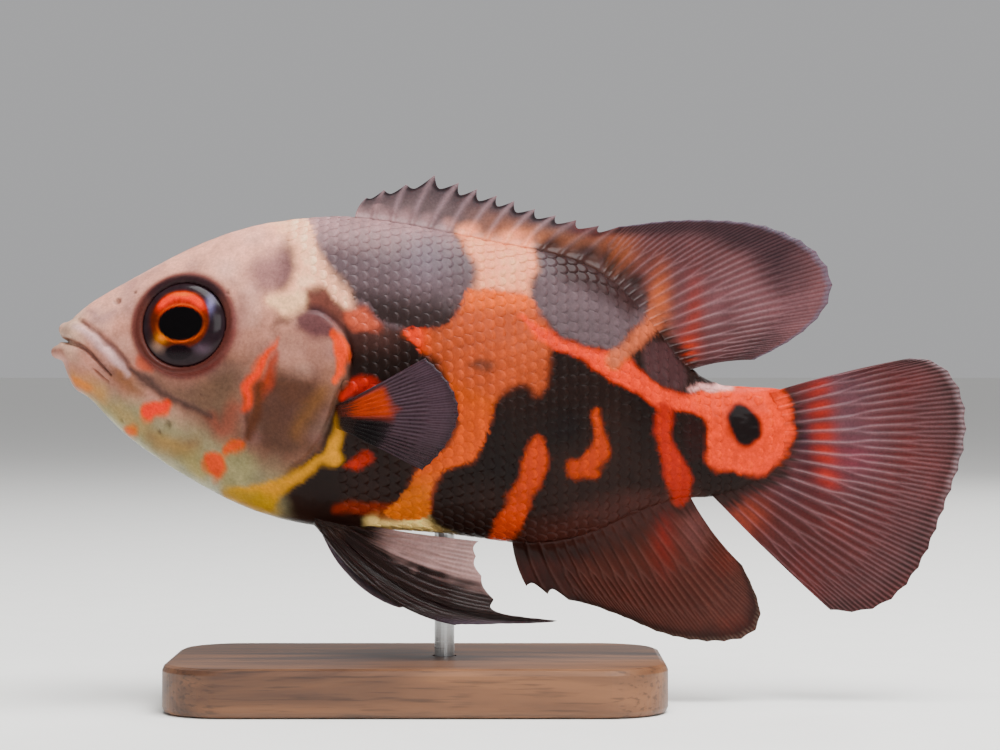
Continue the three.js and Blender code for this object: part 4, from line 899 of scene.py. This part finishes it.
def make_fin(
        name, rays, colour_rule, notch, spines=0, steps_between=10, steps_along=44, ray_half=0.3, wave=0.12,
        sheath=0.75):
    """A fin piece, with the share across and along it kept as a UV map. Lengths are in millimetres."""
    gaps = len(rays) - 1
    obj, across, along_share = add_grid(name, gaps * steps_between, steps_along)
    place = across * gaps
    first = np.clip(np.floor(place + 1e-6).astype(int), 0, gaps - 1)
    part = np.clip(place - first, 0, 1)
    spiny = (first < spines) & ~((first == spines - 1) & (part > 0.5))
    root, tip, bend = (
        between_rays(np.array([ray[k] for ray in rays], float), place, first < spines) for k in range(3))
    length = np.linalg.norm(tip - root, axis=1)
    depth = ROOT_DEPTH / length
    v = -depth + (1 + depth) * along_share
    cut = np.where(first < spines - 1, notch[0], notch[1])
    valley = 1 - np.abs(2 * part - 1) ** 1.6
    places = ray_places(root, tip, bend, v * (1 - cut * valley * np.clip(v, 0, 1) ** 2))
    free = np.clip(v, 0, 1)
    places[:, 1] += wave * noise(np.column_stack([places[:, 0], places[:, 2], places[:, 0] * 0]), 5, 51) * free ** 2
    pattern = ray_pattern(part, free, spiny)
    risen = np.where(spiny, 1, 0.3 + 0.7 * smooth_step(0, 0.3, free))
    half = pattern * ray_half * risen * (1 - 0.72 * free) + 0.1 * (1 - 0.45 * free)
    half += sheath * np.exp(-np.clip(v * length, 0, None) / 0.8) * (1 - free)
    half *= 1 - 0.35 * smooth_step(0.93, 1.0, along_share)
    move_vertices(obj, places)
    paint(obj, fin_colours(colour_rule, across, free, pattern, places, v * length))
    group = obj.vertex_groups.new(name="thickness")
    widest = half.max()
    for index, weight in enumerate(half / widest):
        group.add([index], float(weight), "REPLACE")
    apply_modifier(obj, "solid", "SOLIDIFY", thickness=2 * widest * MM, offset=0, vertex_group="thickness")
    obj.vertex_groups.clear()
    clean_mesh(obj)
    obj.data.uv_layers[0].name = "RayMap"
    print(name, "rays:", len(rays), "faces:", len(obj.data.polygons))
    return obj


# %% Colours of the fins
def spot(s, z, at, size):
    """A soft spot: 1 at its middle, fading over a size each way."""
    return np.exp(-((s - at[0]) / size[0]) ** 2 - ((z - at[1]) / size[1]) ** 2)


def fin_colours(rule, across, v, on_ray, places, millimetres):
    """Linear colours of a fin from its own directions, with the coat running on over its root."""
    rows = places[:, [0, 2, 1]]
    s, z = rows[:, 0], rows[:, 1]
    blot, fine = noise(rows, 4.5, 61), noise(rows, 1.2, 62)
    streak = noise(np.column_stack([across * 60, v * 1.5, v * 0]), 1, 63)
    colours = rule(across, v, on_ray, blot, fine, streak, s, z)
    reach = 2.4 + 2.6 * spot(s, z, (69, 57), (7, 6)) + 2.2 * spot(s, z, (70, 20), (9, 5))
    onto_fin = 0.92 * smooth_step(reach, 0.3, millimetres - 0.9 * streak - 0.4 * on_ray)
    colours = colours + (coat_colours(places) - colours) * onto_fin[:, None]
    return np.clip(colours * (1 + 0.12 * fine + 0.1 * streak)[:, None], 0.002, 1)


def dorsal_colours(across, v, on_ray, blot, fine, streak, s, z):
    spines = smooth_step(67, 62, s)
    soft = smooth_step(66, 72, s)
    edge_band = smooth_step(0.6, 0.84, v + 0.08 * blot) * smooth_step(96, 88, s - (z - 50) * 0.5)
    fringe = soft * smooth_step(0.95, 0.99, v)
    return layered(linear("#5d393a"), (
        ("#80585c", 0.75 * spot(s, z, (88, 50), (9, 4.5))),
        ("#4a2c2d", 0.6 * np.clip(blot, 0, 1)),
        ("#6f5f60", spines),
        ("#4d4448", spines * smooth_step(0.35, 0.9, v) * 0.8),
        ("#b0735a", 0.9 * smooth_step(50, 60, s) * smooth_step(73, 68, s) * smooth_step(0.85, 0.3, v)),
        ("#b0674c", 0.85 * spot(s, z, (71.3, 56.5), (2.3, 3))),
        ("#3a2624", 0.9 * spot(s, z, (67.3, 56.6), (2.1, 1.5))),
        ("#4e3432", 0.9 * spot(s, z, (73.3, 52.0), (1.7, 2.6))),
        ("#c26a4c", 0.95 * spot(s, z, (76.5, 50.4), (1.3, 4.2))),
        ("#8d3b34", 0.8 * spot(s, z, (80.9, 48.6), (1.1, 4.6))),
        ("#b93a24", 0.9 * spot(s, z, (79.9, 43.6), (1.2, 2.8))),
        ("#a88d92", (0.26 + 0.3 * spines) * on_ray * smooth_step(0.04, 0.16, v)),
        ("#21171d", soft * 0.92 * edge_band * (1 - 0.4 * on_ray)),
        ("#3c2426", 0.8 * smooth_step(0.95, 1.0, across)),
        ("#3a3040", 0.7 * fringe),
        ("#8f8592", 0.55 * fringe * (0.4 + 0.6 * on_ray)),
        ("#211a1e", spines * smooth_step(0.78, 0.92, v) * smooth_step(0.9, 0.3, on_ray) * 0.85),
    ))


def caudal_colours(across, v, on_ray, blot, fine, streak, s, z):
    lilac = smooth_step(0.16, 0.32, v) * smooth_step(0.66, 0.38, v) * smooth_step(0.7, 0.35, across)
    dots = 0.35 + 0.65 * np.abs(np.sin(across * math.pi * 8.5))
    column = ridge(s, 97.2 - 0.1 * (z - 33), 1.5) * smooth_step(25.5, 28.5, z) * smooth_step(42.4, 40.5, z)
    margin = smooth_step(0.86, 0.95, v)
    return layered(linear("#542b2c"), (
        ("#4d2523", 0.8 * smooth_step(0.5, 0.85, across)),
        ("#38201f", 0.6 * smooth_step(0.6, 0.95, v)),
        ("#6d4f58", 0.6 * lilac),
        ("#7a3540", 0.6 * spot(s, z, (100.8, 30.8), (3, 2))),
        ("#32202a", 0.92 * spot(s, z, (94.6, 33.4), (1.1, 3.4))),
        ("#4a2c30", 0.7 * spot(s, z, (92.6, 27.0), (2.2, 2.6))),
        ("#b53a30", 0.8 * column * dots * (1 - 0.5 * on_ray)),
        ("#8f4030", 0.75 * spot(s, z, (87.6, 23.6), (2.6, 2.4))),
        ("#6e2b28", 0.4 * np.clip(blot, 0, 1)),
        ("#9c787c", 0.26 * on_ray),
        ("#241614", 0.75 * margin * (1 - on_ray)),
        ("#a8989d", 0.6 * smooth_step(0.95, 0.99, v) * smooth_step(0.7, 0.3, across) * (0.35 + 0.65 * on_ray)),
    ))


def anal_colours(across, v, on_ray, blot, fine, streak, s, z):
    return layered(linear("#47231c"), (
        ("#251411", 0.8 * smooth_step(0.3, 0.05, across)),
        ("#7a2824", 0.8 * spot(s, z, (77, 21.5), (1.3, 4.5))),
        ("#6d4a48", 0.7 * spot(s, z, (80.8, 22), (2, 3))),
        ("#6b2a20", 0.5 * np.clip(blot, 0, 1)),
        ("#7b5650", 0.24 * on_ray),
        ("#221310", 0.85 * smooth_step(0.84, 0.97, v)),
        ("#8c7a6c", 0.5 * smooth_step(0.95, 1.0, v) * on_ray),
    ))


def pectoral_colours(across, v, on_ray, blot, fine, streak, s, z):
    ragged = v + 0.05 * fine
    patch = smooth_step(0.66, 0.42, across) * smooth_step(0.02, 0.12, across)
    return layered(linear("#3b2b31"), (
        ("#6a5661", 0.65 * on_ray),
        ("#2a1c1e", 0.6 * smooth_step(0.55, 0.9, across)),
        ("#c04a30", 0.95 * patch * smooth_step(0.5, 0.38, ragged)),
        ("#0b0606", 0.95 * smooth_step(0.5, 0.36, ragged) * smooth_step(0.45, 0.62, across)),
        ("#2a2026", 0.6 * smooth_step(0.9, 1.0, v)),
    ))


def pelvic_colours(across, v, on_ray, blot, fine, streak, s, z):
    inner = smooth_step(0.58, 0.72, across + 0.05 * fine + 0.05 * streak)
    return layered(linear("#21130f"), (
        ("#3d2a2b", 0.5 * on_ray),
        ("#a48682", inner * smooth_step(0.26, 0.5, v + 0.1 * across + 0.06 * streak)),
        ("#4a2c1c", 0.8 * smooth_step(0.12, 0.0, v)),
        ("#4a3a48", 0.6 * smooth_step(0.75, 1.0, v) * smooth_step(0.35, 0.1, across)),
    ))


def far_pelvic_colours(across, v, on_ray, blot, fine, streak, s, z):
    return layered(linear("#3a3039"), (
        ("#2a2130", 0.6 * np.clip(blot, 0, 1)),
        ("#8d7d8c", 0.8 * smooth_step(0.09, 0.02, across)),
        ("#7a6a66", 0.5 * on_ray),
        ("#4a2c1c", 0.8 * smooth_step(0.15, 0.0, v)),
    ))


# %% Fins of the middle plane
DORSAL_TIPS = [
    [39.6, 63.6], [41.8, 64.6], [44.6, 65.3], [48.2, 66.5], [51.2, 65.5], [53.5, 64.7], [56, 63.9], [58.2, 63.2],
    [60.8, 62.2], [63.4, 61.4], [66, 60.8], [68.9, 60.1], [71.4, 60],
]
DORSAL_MARGIN = [
    [73.2, 60.2], [77, 60.7], [81.6, 60.9], [86.6, 60.7], [90.4, 60], [94.2, 58.4], [96.9, 56.2], [98.3, 53.2],
    [97.6, 50], [95.4, 47.4], [92.3, 45.2], [88.4, 43.2],
]
ANAL_TIPS = [[59.7, 14.7], [62.4, 13.7], [65, 13]]
ANAL_MARGIN = [
    [68, 12.3], [72.6, 10.6], [76, 9.1], [80.3, 8], [84.2, 7.8], [87.2, 8.3], [88.9, 9.8], [89.1, 12],
    [88.2, 14.6], [86.9, 17.3],
]
CAUDAL_MARGIN = [
    [108, 43.4], [111.2, 43], [113.5, 41.1], [114.9, 38.2], [115.25, 34.4], [114.7, 31], [113.5, 27.6], [112, 23.8],
    [109.9, 18.8], [107.4, 14.9], [104.6, 12.5], [101.4, 11.5], [98, 11.7],
]


def outline_place(s, sign):
    middle, up, down, *_ = section_at(s)
    return np.array([s, 0, float((middle + (up if sign > 0 else -down))[0])])


def median_rays(first, join, last, tips, margin, soft_count, sign, sway):
    """Rays of the dorsal or anal fin: spines with their own tips, then soft rays with a shared margin."""
    rays = []
    for i, (s, z) in enumerate(tips):
        root = outline_place(first + (join - first) * i / len(tips), sign)
        rays.append((root, (s, 0, z), (-0.5, 0, 0.3 * sign)))
    edge = smooth_line(margin, 8)
    for i in range(soft_count):
        share = i / (soft_count - 1)
        s, z = at_share(edge, share)
        root = outline_place(join + (last - join) * share, sign)
        rays.append((root, (s, sway * math.sin(math.pi * share), z), (-0.6, sway * 0.1, 0.6 * sign)))
    return rays


def caudal_rays(count):
    roots = at_share(smooth_line(CAUDAL_BASE, 6), np.linspace(0, 1, count))
    tips = at_share(smooth_line(CAUDAL_MARGIN, 6), np.linspace(0, 1, count))
    return [
        ((root[0], 0, root[1]), (tip[0], 0.9 * math.sin(2 * math.pi * share), tip[1]), (0, 0, 0.5 - share))
        for root, tip, share in zip(roots, tips, np.linspace(0, 1, count))]


fins = {}
dorsal = median_rays(38.2, 68.8, 80.6, DORSAL_TIPS, DORSAL_MARGIN, 19, 1, 0.8)
fins["dorsal_fin"] = make_fin(
    "dorsal_fin_rays", dorsal, dorsal_colours, (0.23, 0.012), spines=13, steps_between=12)
anal = median_rays(57.9, 63.2, 80.4, ANAL_TIPS, ANAL_MARGIN, 15, -1, -0.7)
fins["anal_fin"] = make_fin(
    "anal_fin_rays", anal, anal_colours, (0.16, 0.012), spines=3, steps_between=14)
fins["caudal_fin"] = make_fin(
    "caudal_fin_rays", caudal_rays(18), caudal_colours, (0, 0.012), steps_between=20, steps_along=60, ray_half=0.34,
    sheath=0.5)

# %% [markdown]
# ## Paired fins
# The pectoral fin stands out from a fleshy lobe behind the gill cover, and the pelvic fins trail below the breast.
# They use the same sheet of rays, so each is only a new list of roots, tips and bends, one for each side.

# %% Pectoral and pelvic fins
PECTORAL_LENGTHS = [[0, 11.9], [1, 13.3], [2, 14], [3, 13.9], [4, 12.8], [5, 11.2]]
PELVIC_TIPS = {
    "left": [
        [50.9, 7.6, 10.5, -1.6, -4.4], [54.6, 7.5, 10.6, -1.9, -5.2], [63.4, 7.4, 11, -2.2, -7.2],
        [56.6, 7.2, 11.9, -1.8, -4.6], [55.6, 6.4, 13.6, -1.2, -2.8], [54.1, 5.6, 16.4, -0.8, -1.4],
        [53.4, 4.8, 18.8, -0.5, -0.6], [53.7, 4, 20.6, -0.3, -0.1],
    ],
    "right": [
        [43.4, 9.6, 11.2, -2.2, -3.4], [46.9, 9.4, 11.5, -1.8, -3.2], [48.6, 8.6, 12.6, -1.2, -2.4],
        [49, 7.3, 14.6, -0.8, -1.5], [48.4, 5.8, 17, -0.6, -1], [47, 4.4, 19.4, -0.4, -0.6],
    ],
}


def pectoral_rays(side, count=13):
    s, z = PECTORAL_ROOT
    root_y = float(flank(s, z)[0])
    lengths = at_share(smooth_line(PECTORAL_LENGTHS, 6), np.linspace(0, 1, count))[:, 1]
    rays = []
    for share, length in zip(np.linspace(0, 1, count), lengths):
        angle, rise = math.radians(33 - 64 * share), 1.7 - 3.4 * share
        lateral = length * math.tan(math.radians(25)) * (0.9 + 0.2 * math.sin(math.pi * share))
        root = (s - 0.2, side * (root_y + 0.2), z + rise)
        tip_z = z + rise * 0.4 + length * math.sin(angle)
        tip = (root[0] + length * math.cos(angle), side * (root_y + lateral), tip_z)
        rays.append((root, tip, (0, side * 1.1, 0)))
    return rays


def pelvic_rays(side, tips):
    rays = []
    for share, (s, y, z, bend_s, bend_z) in zip(np.linspace(0, 1, len(tips)), tips):
        root_s = 33.2 + 4.4 * share
        skin_z = float(outline_place(root_s, -1)[2])
        root = (root_s, side * (2.8 - 0.9 * share), skin_z + 0.6)
        rays.append((root, (s, side * y, z), (bend_s, side * 0.8, bend_z)))
    return rays


for side_name, side in SIDES.items():
    fins["pectoral_fin_" + side_name] = make_fin(
        "pectoral_fin_rays_" + side_name, pectoral_rays(side), pectoral_colours, (0, 0.015), steps_between=10,
        steps_along=36, ray_half=0.2, wave=0.08)
    fins["pelvic_fin_" + side_name] = make_fin(
        "pelvic_fin_rays_" + side_name, pelvic_rays(side, PELVIC_TIPS[side_name]),
        pelvic_colours if side == LEFT else far_pelvic_colours, (0, 0.025), steps_between=18, steps_along=56,
        ray_half=0.3, wave=0.1)

# %% [markdown]
# ## Eyes
# A display fish has cast eyes: a shallow dome with the iris painted on, under a hard clear gloss. A sphere is
# pressed to the eye's real depth and turned to look out of its socket. The pupil lies a little ahead of the
# middle, with a fiery crescent over it.

# %% Eyeballs


def eye_colours(local):
    """Linear colours from places in the eye's own frame: forward, up and outward, in millimetres."""
    a, b, _ = local.T
    reach = np.hypot(a, b)
    grain = noise(np.column_stack([np.arctan2(b, a) * 3, reach * 0.3, a * 0]), 0.25, 71)
    iris = np.hypot((a - 0.35) / 3.75, (b - 0.2) / 3.75)
    pupil = np.hypot((a - 0.2) / 2.78, (b + 0.14) / 2.15)
    rise = (b - 0.2) / np.maximum(np.hypot(a - 0.35, b - 0.2), 1e-3)
    inside = smooth_step(1.04, 0.94, iris) * smooth_step(-4.2, -2.2, b)
    crescent = np.exp(-((iris - 0.87) / 0.11) ** 2) * smooth_step(0.3, 0.8, rise)
    colours = layered(linear("#281d21"), (
        ("#20151a", 0.95 * spot(a, b, (-3.9, -0.4), (1.0, 2.4))),
        # A pale lilac spot at the upper rear of the ball: a painted highlight.
        ("#8079a0", 0.8 * spot(a, b, (-3.3, 2.4), (0.5, 1.2))),
        ("#5e4c58", 0.8 * spot(a, b, (-2.6, -3.3), (1.0, 0.6))),
        ("#8f7468", 0.9 * spot(a, b, (3.0, -3.0), (0.9, 0.7))),
        ("#5e2413", inside),
        ("#a8321a", inside * smooth_step(0.1, 0.7, rise)),
        ("#ff4d22", np.clip(1.25 * crescent, 0, 1)),
        ("#ff8a58", 0.6 * spot(a, b, (0.3, 3.6), (1.2, 0.25))),
        ("#d98a2a", 0.95 * spot(a, b, (2.5, -1.9), (0.8, 0.7))),
        ("#4a1c10", 0.8 * spot(a, b, (3.9, 0.6), (0.5, 1.6))),
    ))
    colours = np.clip(colours * (1 + 0.2 * grain)[:, None], 0.002, 1)
    return layered(colours, (
        ("#d8622c", 0.9 * np.abs(rise) * np.exp(-((pupil - 1.1) / 0.05) ** 2)),
        ("#050204", smooth_step(1.05, 0.98, pupil)),
        ("#14070d", smooth_step(1.1, 0.85, np.hypot((a - 0.3) / 1.75, (b + 3.75) / 0.95))),
        ("#2b1a1d", smooth_step(4.9, 5.3, reach)),
    ))


def make_eye(side_name, side):
    bpy.ops.object.select_all(action="DESELECT")
    bpy.ops.mesh.primitive_uv_sphere_add(segments=120, ring_count=80, radius=1)
    obj = bpy.context.object
    obj.name = obj.data.name = "eyeball_" + side_name
    ball = coordinates(obj)
    depth = np.where(ball[:, 2] > 0, EYE["bulge"], EYE["back"])
    local = ball * np.column_stack([np.full((len(ball), 2), EYE["ball"]), depth])
    centre, axes = eye_frame(side)
    move_vertices(obj, centre + local @ axes)
    clean_mesh(obj)
    paint(obj, eye_colours(local))
    print(obj.name, "faces:", len(obj.data.polygons))
    return obj


eyes = {side_name: make_eye(side_name, side) for side_name, side in SIDES.items()}

# %% [markdown]
# ## Finishes
# Every finish is a small tree of nodes. One function adds a node with its settings and its links, and a few short
# ones build what all finishes need: grain, a range, a bump, the surface. The fish's colours come from the painted
# attribute, and each finish adds what is too fine to paint: speckle, grain and gloss.

# %% Functions that add nodes


def new_finish(name):
    material = bpy.data.materials.new(name)
    material.use_nodes = True
    material.node_tree.nodes.clear()
    return material


def add_node(material, kind, inputs=None, links=None, **settings):
    """Adds a node with values for its inputs, links into them and settings of its own."""
    node = material.node_tree.nodes.new(kind)
    for name, value in settings.items():
        setattr(node, name, value)
    for socket, value in (inputs or {}).items():
        node.inputs[socket].default_value = value
    for socket, source in (links or {}).items():
        material.node_tree.links.new(source, node.inputs[socket])
    return node


def hex_colour(code):
    return (*linear(code), 1)


def add_grain(material, size, stretch=None, **inputs):
    """Noise with grains of a size in millimetres, in the piece's own space, drawn out by a stretch."""
    place = add_node(material, "ShaderNodeTexCoord").outputs["Object"]
    if stretch:
        place = add_node(material, "ShaderNodeMapping", {"Scale": stretch}, {"Vector": place}).outputs["Vector"]
    inputs["Scale"] = 1 / (size * MM)
    return add_node(material, "ShaderNodeTexNoise", inputs, {"Vector": place}).outputs["Fac"]


def add_range(material, value, low, high, start=0.0, end=1.0):
    """A value that runs from start to end, spread over the range from low to high."""
    ends = {"From Min": start, "From Max": end, "To Min": low, "To Max": high}
    return add_node(material, "ShaderNodeMapRange", ends, {"Value": value}).outputs["Result"]


def add_shade(material, colour, shade):
    """A colour multiplied by a value."""
    links = {0: colour, 1: shade}
    return add_node(material, "ShaderNodeVectorMath", links=links, operation="MULTIPLY").outputs["Vector"]


def add_mixture(material, share, first, second):
    """A mixture of two colours by a share."""
    tones = {6: hex_colour(first), 7: hex_colour(second)}
    return add_node(material, "ShaderNodeMix", tones, {0: share}, data_type="RGBA").outputs[2]


def add_surface(material, inputs, links, height=None, strength=0.0, depth=0.0):
    """The surface with its values and links, and a bump of a depth in millimetres where there is a height."""
    if height:
        bump = {"Strength": strength, "Distance": depth * MM}
        links["Normal"] = add_node(material, "ShaderNodeBump", bump, {"Height": height}).outputs["Normal"]
    shader = add_node(material, "ShaderNodeBsdfPrincipled", inputs, links)
    add_node(material, "ShaderNodeOutputMaterial", links={"Surface": shader.outputs["BSDF"]})


# %% Painted and lacquered fish skin
# Museum skin: airbrushed resin under a wet-look lacquer. The eye sees fine pigment grains and soft broad gloss.


def fish_finish(name, grain_size, grain_depth, roughness, gloss, alpha=1.0, rays=False):
    finish = new_finish(name)
    coat = add_node(finish, "ShaderNodeVertexColor", layer_name="coat").outputs["Color"]
    height = grain = add_grain(finish, grain_size, Detail=3.0, Roughness=0.6)
    speckle = add_range(finish, grain, 0.84, 1.16, start=0.3, end=0.7)
    polish = add_range(finish, add_grain(finish, 2.2), roughness - 0.07, roughness + 0.09)
    if rays:
        along_rays = add_node(finish, "ShaderNodeUVMap", uv_map="RayMap").outputs["UV"]
        stretched = add_node(finish, "ShaderNodeMapping", {"Scale": (140.0, 9.0, 1.0)}, {"Vector": along_rays})
        height = add_node(
            finish, "ShaderNodeTexNoise", {"Scale": 1.0, "Detail": 3.0}, {"Vector": stretched.outputs["Vector"]}
        ).outputs["Fac"]
    values = {
        "IOR": 1.45, "Specular IOR Level": 0.085, "Coat Weight": gloss, "Coat Roughness": 0.12, "Alpha": alpha,
        "Subsurface Weight": 0.06, "Subsurface Radius": (1.0, 0.4, 0.25), "Subsurface Scale": 0.0008,
    }
    links = {"Base Color": add_shade(finish, coat, speckle), "Roughness": polish}
    add_surface(finish, values, links, height, 0.55, grain_depth)
    return finish


skin_finish = fish_finish("lacquered_fish_skin", 0.35, 0.05, 0.42, 0.06)
scale_finish = fish_finish("lacquered_fish_scales", 0.3, 0.03, 0.38, 0.035)
fin_finish = fish_finish("lacquered_fin_membrane", 0.3, 0.05, 0.45, 0.08, rays=True)
clear_fin_finish = fish_finish("thin_fin_membrane", 0.3, 0.05, 0.45, 0.08, alpha=0.93, rays=True)
eye_finish = fish_finish("cast_glass_eye", 0.12, 0.006, 0.16, 0.08)

# %% Oiled walnut
# Planed walnut: dark growth rings in long stretched bands, and short pores that run with the grain.
walnut = new_finish("oiled_walnut")
rings = add_grain(walnut, 5, (0.12, 1.0, 1.0), Detail=5.0, Roughness=0.55, Distortion=0.6)
tones = add_node(walnut, "ShaderNodeValToRGB", links={"Fac": rings})
for element, position, code in zip(tones.color_ramp.elements, (0.34, 0.68), ("#3a2216", "#7d5233")):
    element.position, element.color = position, hex_colour(code)
pore_marks = add_grain(walnut, 0.45, (0.06, 1.0, 1.0))
pore_shade = add_range(walnut, pore_marks, 0.55, 1.0, start=0.33, end=0.46)
wood_links = {
    "Base Color": add_shade(walnut, tones.outputs["Color"], pore_shade),
    "Roughness": add_range(walnut, rings, 0.34, 0.5),
}
add_surface(walnut, {"IOR": 1.5}, wood_links, pore_marks, 0.4, 0.06)

# %% Brushed stainless steel
# Steel rod, polished with grit round its girth: fine bright and dull rings about 0.15 mm apart.
steel = new_finish("brushed_stainless_steel")
brushing = add_grain(steel, 0.15, (0.04, 0.04, 1.0), Detail=3.0)
steel_links = {
    "Base Color": add_mixture(steel, brushing, "#9a9c9e", "#c6c7c6"),
    "Roughness": add_range(steel, brushing, 0.2, 0.42),
}
add_surface(steel, {"Metallic": 1.0}, steel_links, brushing, 0.25, 0.02)
print("Finishes:", [material.name for material in bpy.data.materials])

# %% [markdown]
# ## Joining the pieces to the frame
# Each new piece takes its finish, and the CAD nodes it stands for are hidden. Nothing moves on a
# display model, so everything rides on the one body.

# %% Finishes, replaced nodes and the body they ride on


def place_piece(piece, finish, slot, *nodes):
    piece.data.materials.clear()
    piece.data.materials.append(finish)
    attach(piece, "root")
    if nodes:
        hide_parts(*nodes)


place_piece(
    skin, skin_finish, "flesh_pale", "head", "lower_jaw", "gill_cover_left", "gill_cover_right", "trunk", "tail_base")
for side_name in SIDES:
    place_piece(scales[side_name], scale_finish, "flesh_dark")
    place_piece(eyes[side_name], eye_finish, "eye", "eye_" + side_name)
for node, fin in fins.items():
    paired = node.startswith(("pectoral", "pelvic"))
    place_piece(fin, clear_fin_finish if paired else fin_finish, "fin", node)
for node, finish in (("stand_base", walnut), ("stand_rod", steel)):
    for material_slot in frame["nodes"][node].material_slots:
        material_slot.material = finish

# %% [markdown]
# ## Table, light and camera
# The display stands on a plain pale table under soft studio lights: one above, one from the front and one behind.
# The camera looks level at the fish's left side, from the distance that gives the photograph's view.

# %% Table top
bpy.ops.object.select_all(action="DESELECT")
bpy.ops.mesh.primitive_plane_add(size=80)
table_top = bpy.context.object
table_top.name = "table_top"
paper = new_finish("matt_pale_paper")
paper_tone = add_mixture(paper, add_grain(paper, 8), "#efeeea", "#f4f3ef")
add_surface(paper, {"Roughness": 0.85}, {"Base Color": paper_tone})
table_top.data.materials.append(paper)
table_top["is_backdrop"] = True
print("Table top:", table_top.name)

# %% Lights and world
# Each light: place, size in metres, power in watts. They look at the fish's middle.
LIGHTS = {
    "overhead": ((0.1, -0.12, 0.55), 0.4, 7.8),
    "front": ((0.3, -0.72, 0.42), 0.32, 2.3),
    "behind": ((0.3, 0.5, 0.4), 0.35, 1.6),
}
FISH_MIDDLE = Vector((0, 0, 0.04))
for name, (spot_at, size, power) in LIGHTS.items():
    lamp = bpy.data.lights.new(name, "AREA")
    lamp.size, lamp.energy = size, power
    lamp_object = bpy.data.objects.new(name, lamp)
    lamp_object.location = spot_at
    lamp_object.rotation_euler = (FISH_MIDDLE - Vector(spot_at)).to_track_quat("-Z", "Y").to_euler()
    bpy.context.collection.objects.link(lamp_object)
world = bpy.data.worlds.new("pale_room")
world.use_nodes = True
world.node_tree.nodes["Background"].inputs["Color"].default_value = hex_colour("#e6e6e8")
world.node_tree.nodes["Background"].inputs["Strength"].default_value = 0.55
bpy.context.scene.world = world
print("Lights:", list(LIGHTS))

# %% Camera
camera_data = bpy.data.cameras.new("camera")
camera_data.sensor_width, camera_data.lens, camera_data.clip_start = 36, 100.1, 0.01
camera = bpy.data.objects.new("camera", camera_data)
camera.location = (-1.21 * MM, -350 * MM, 41.29 * MM)
camera.rotation_euler = (math.pi / 2, 0, 0)
bpy.context.collection.objects.link(camera)
bpy.context.scene.camera = camera
print("Camera at", [round(value, 4) for value in camera.location], "metres")

# %% Sizes, and the end
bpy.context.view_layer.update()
triangles = {p.name: sum(len(face.vertices) - 2 for face in p.data.polygons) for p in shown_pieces()}
print("Triangles:", triangles, "in all:", sum(triangles.values()))
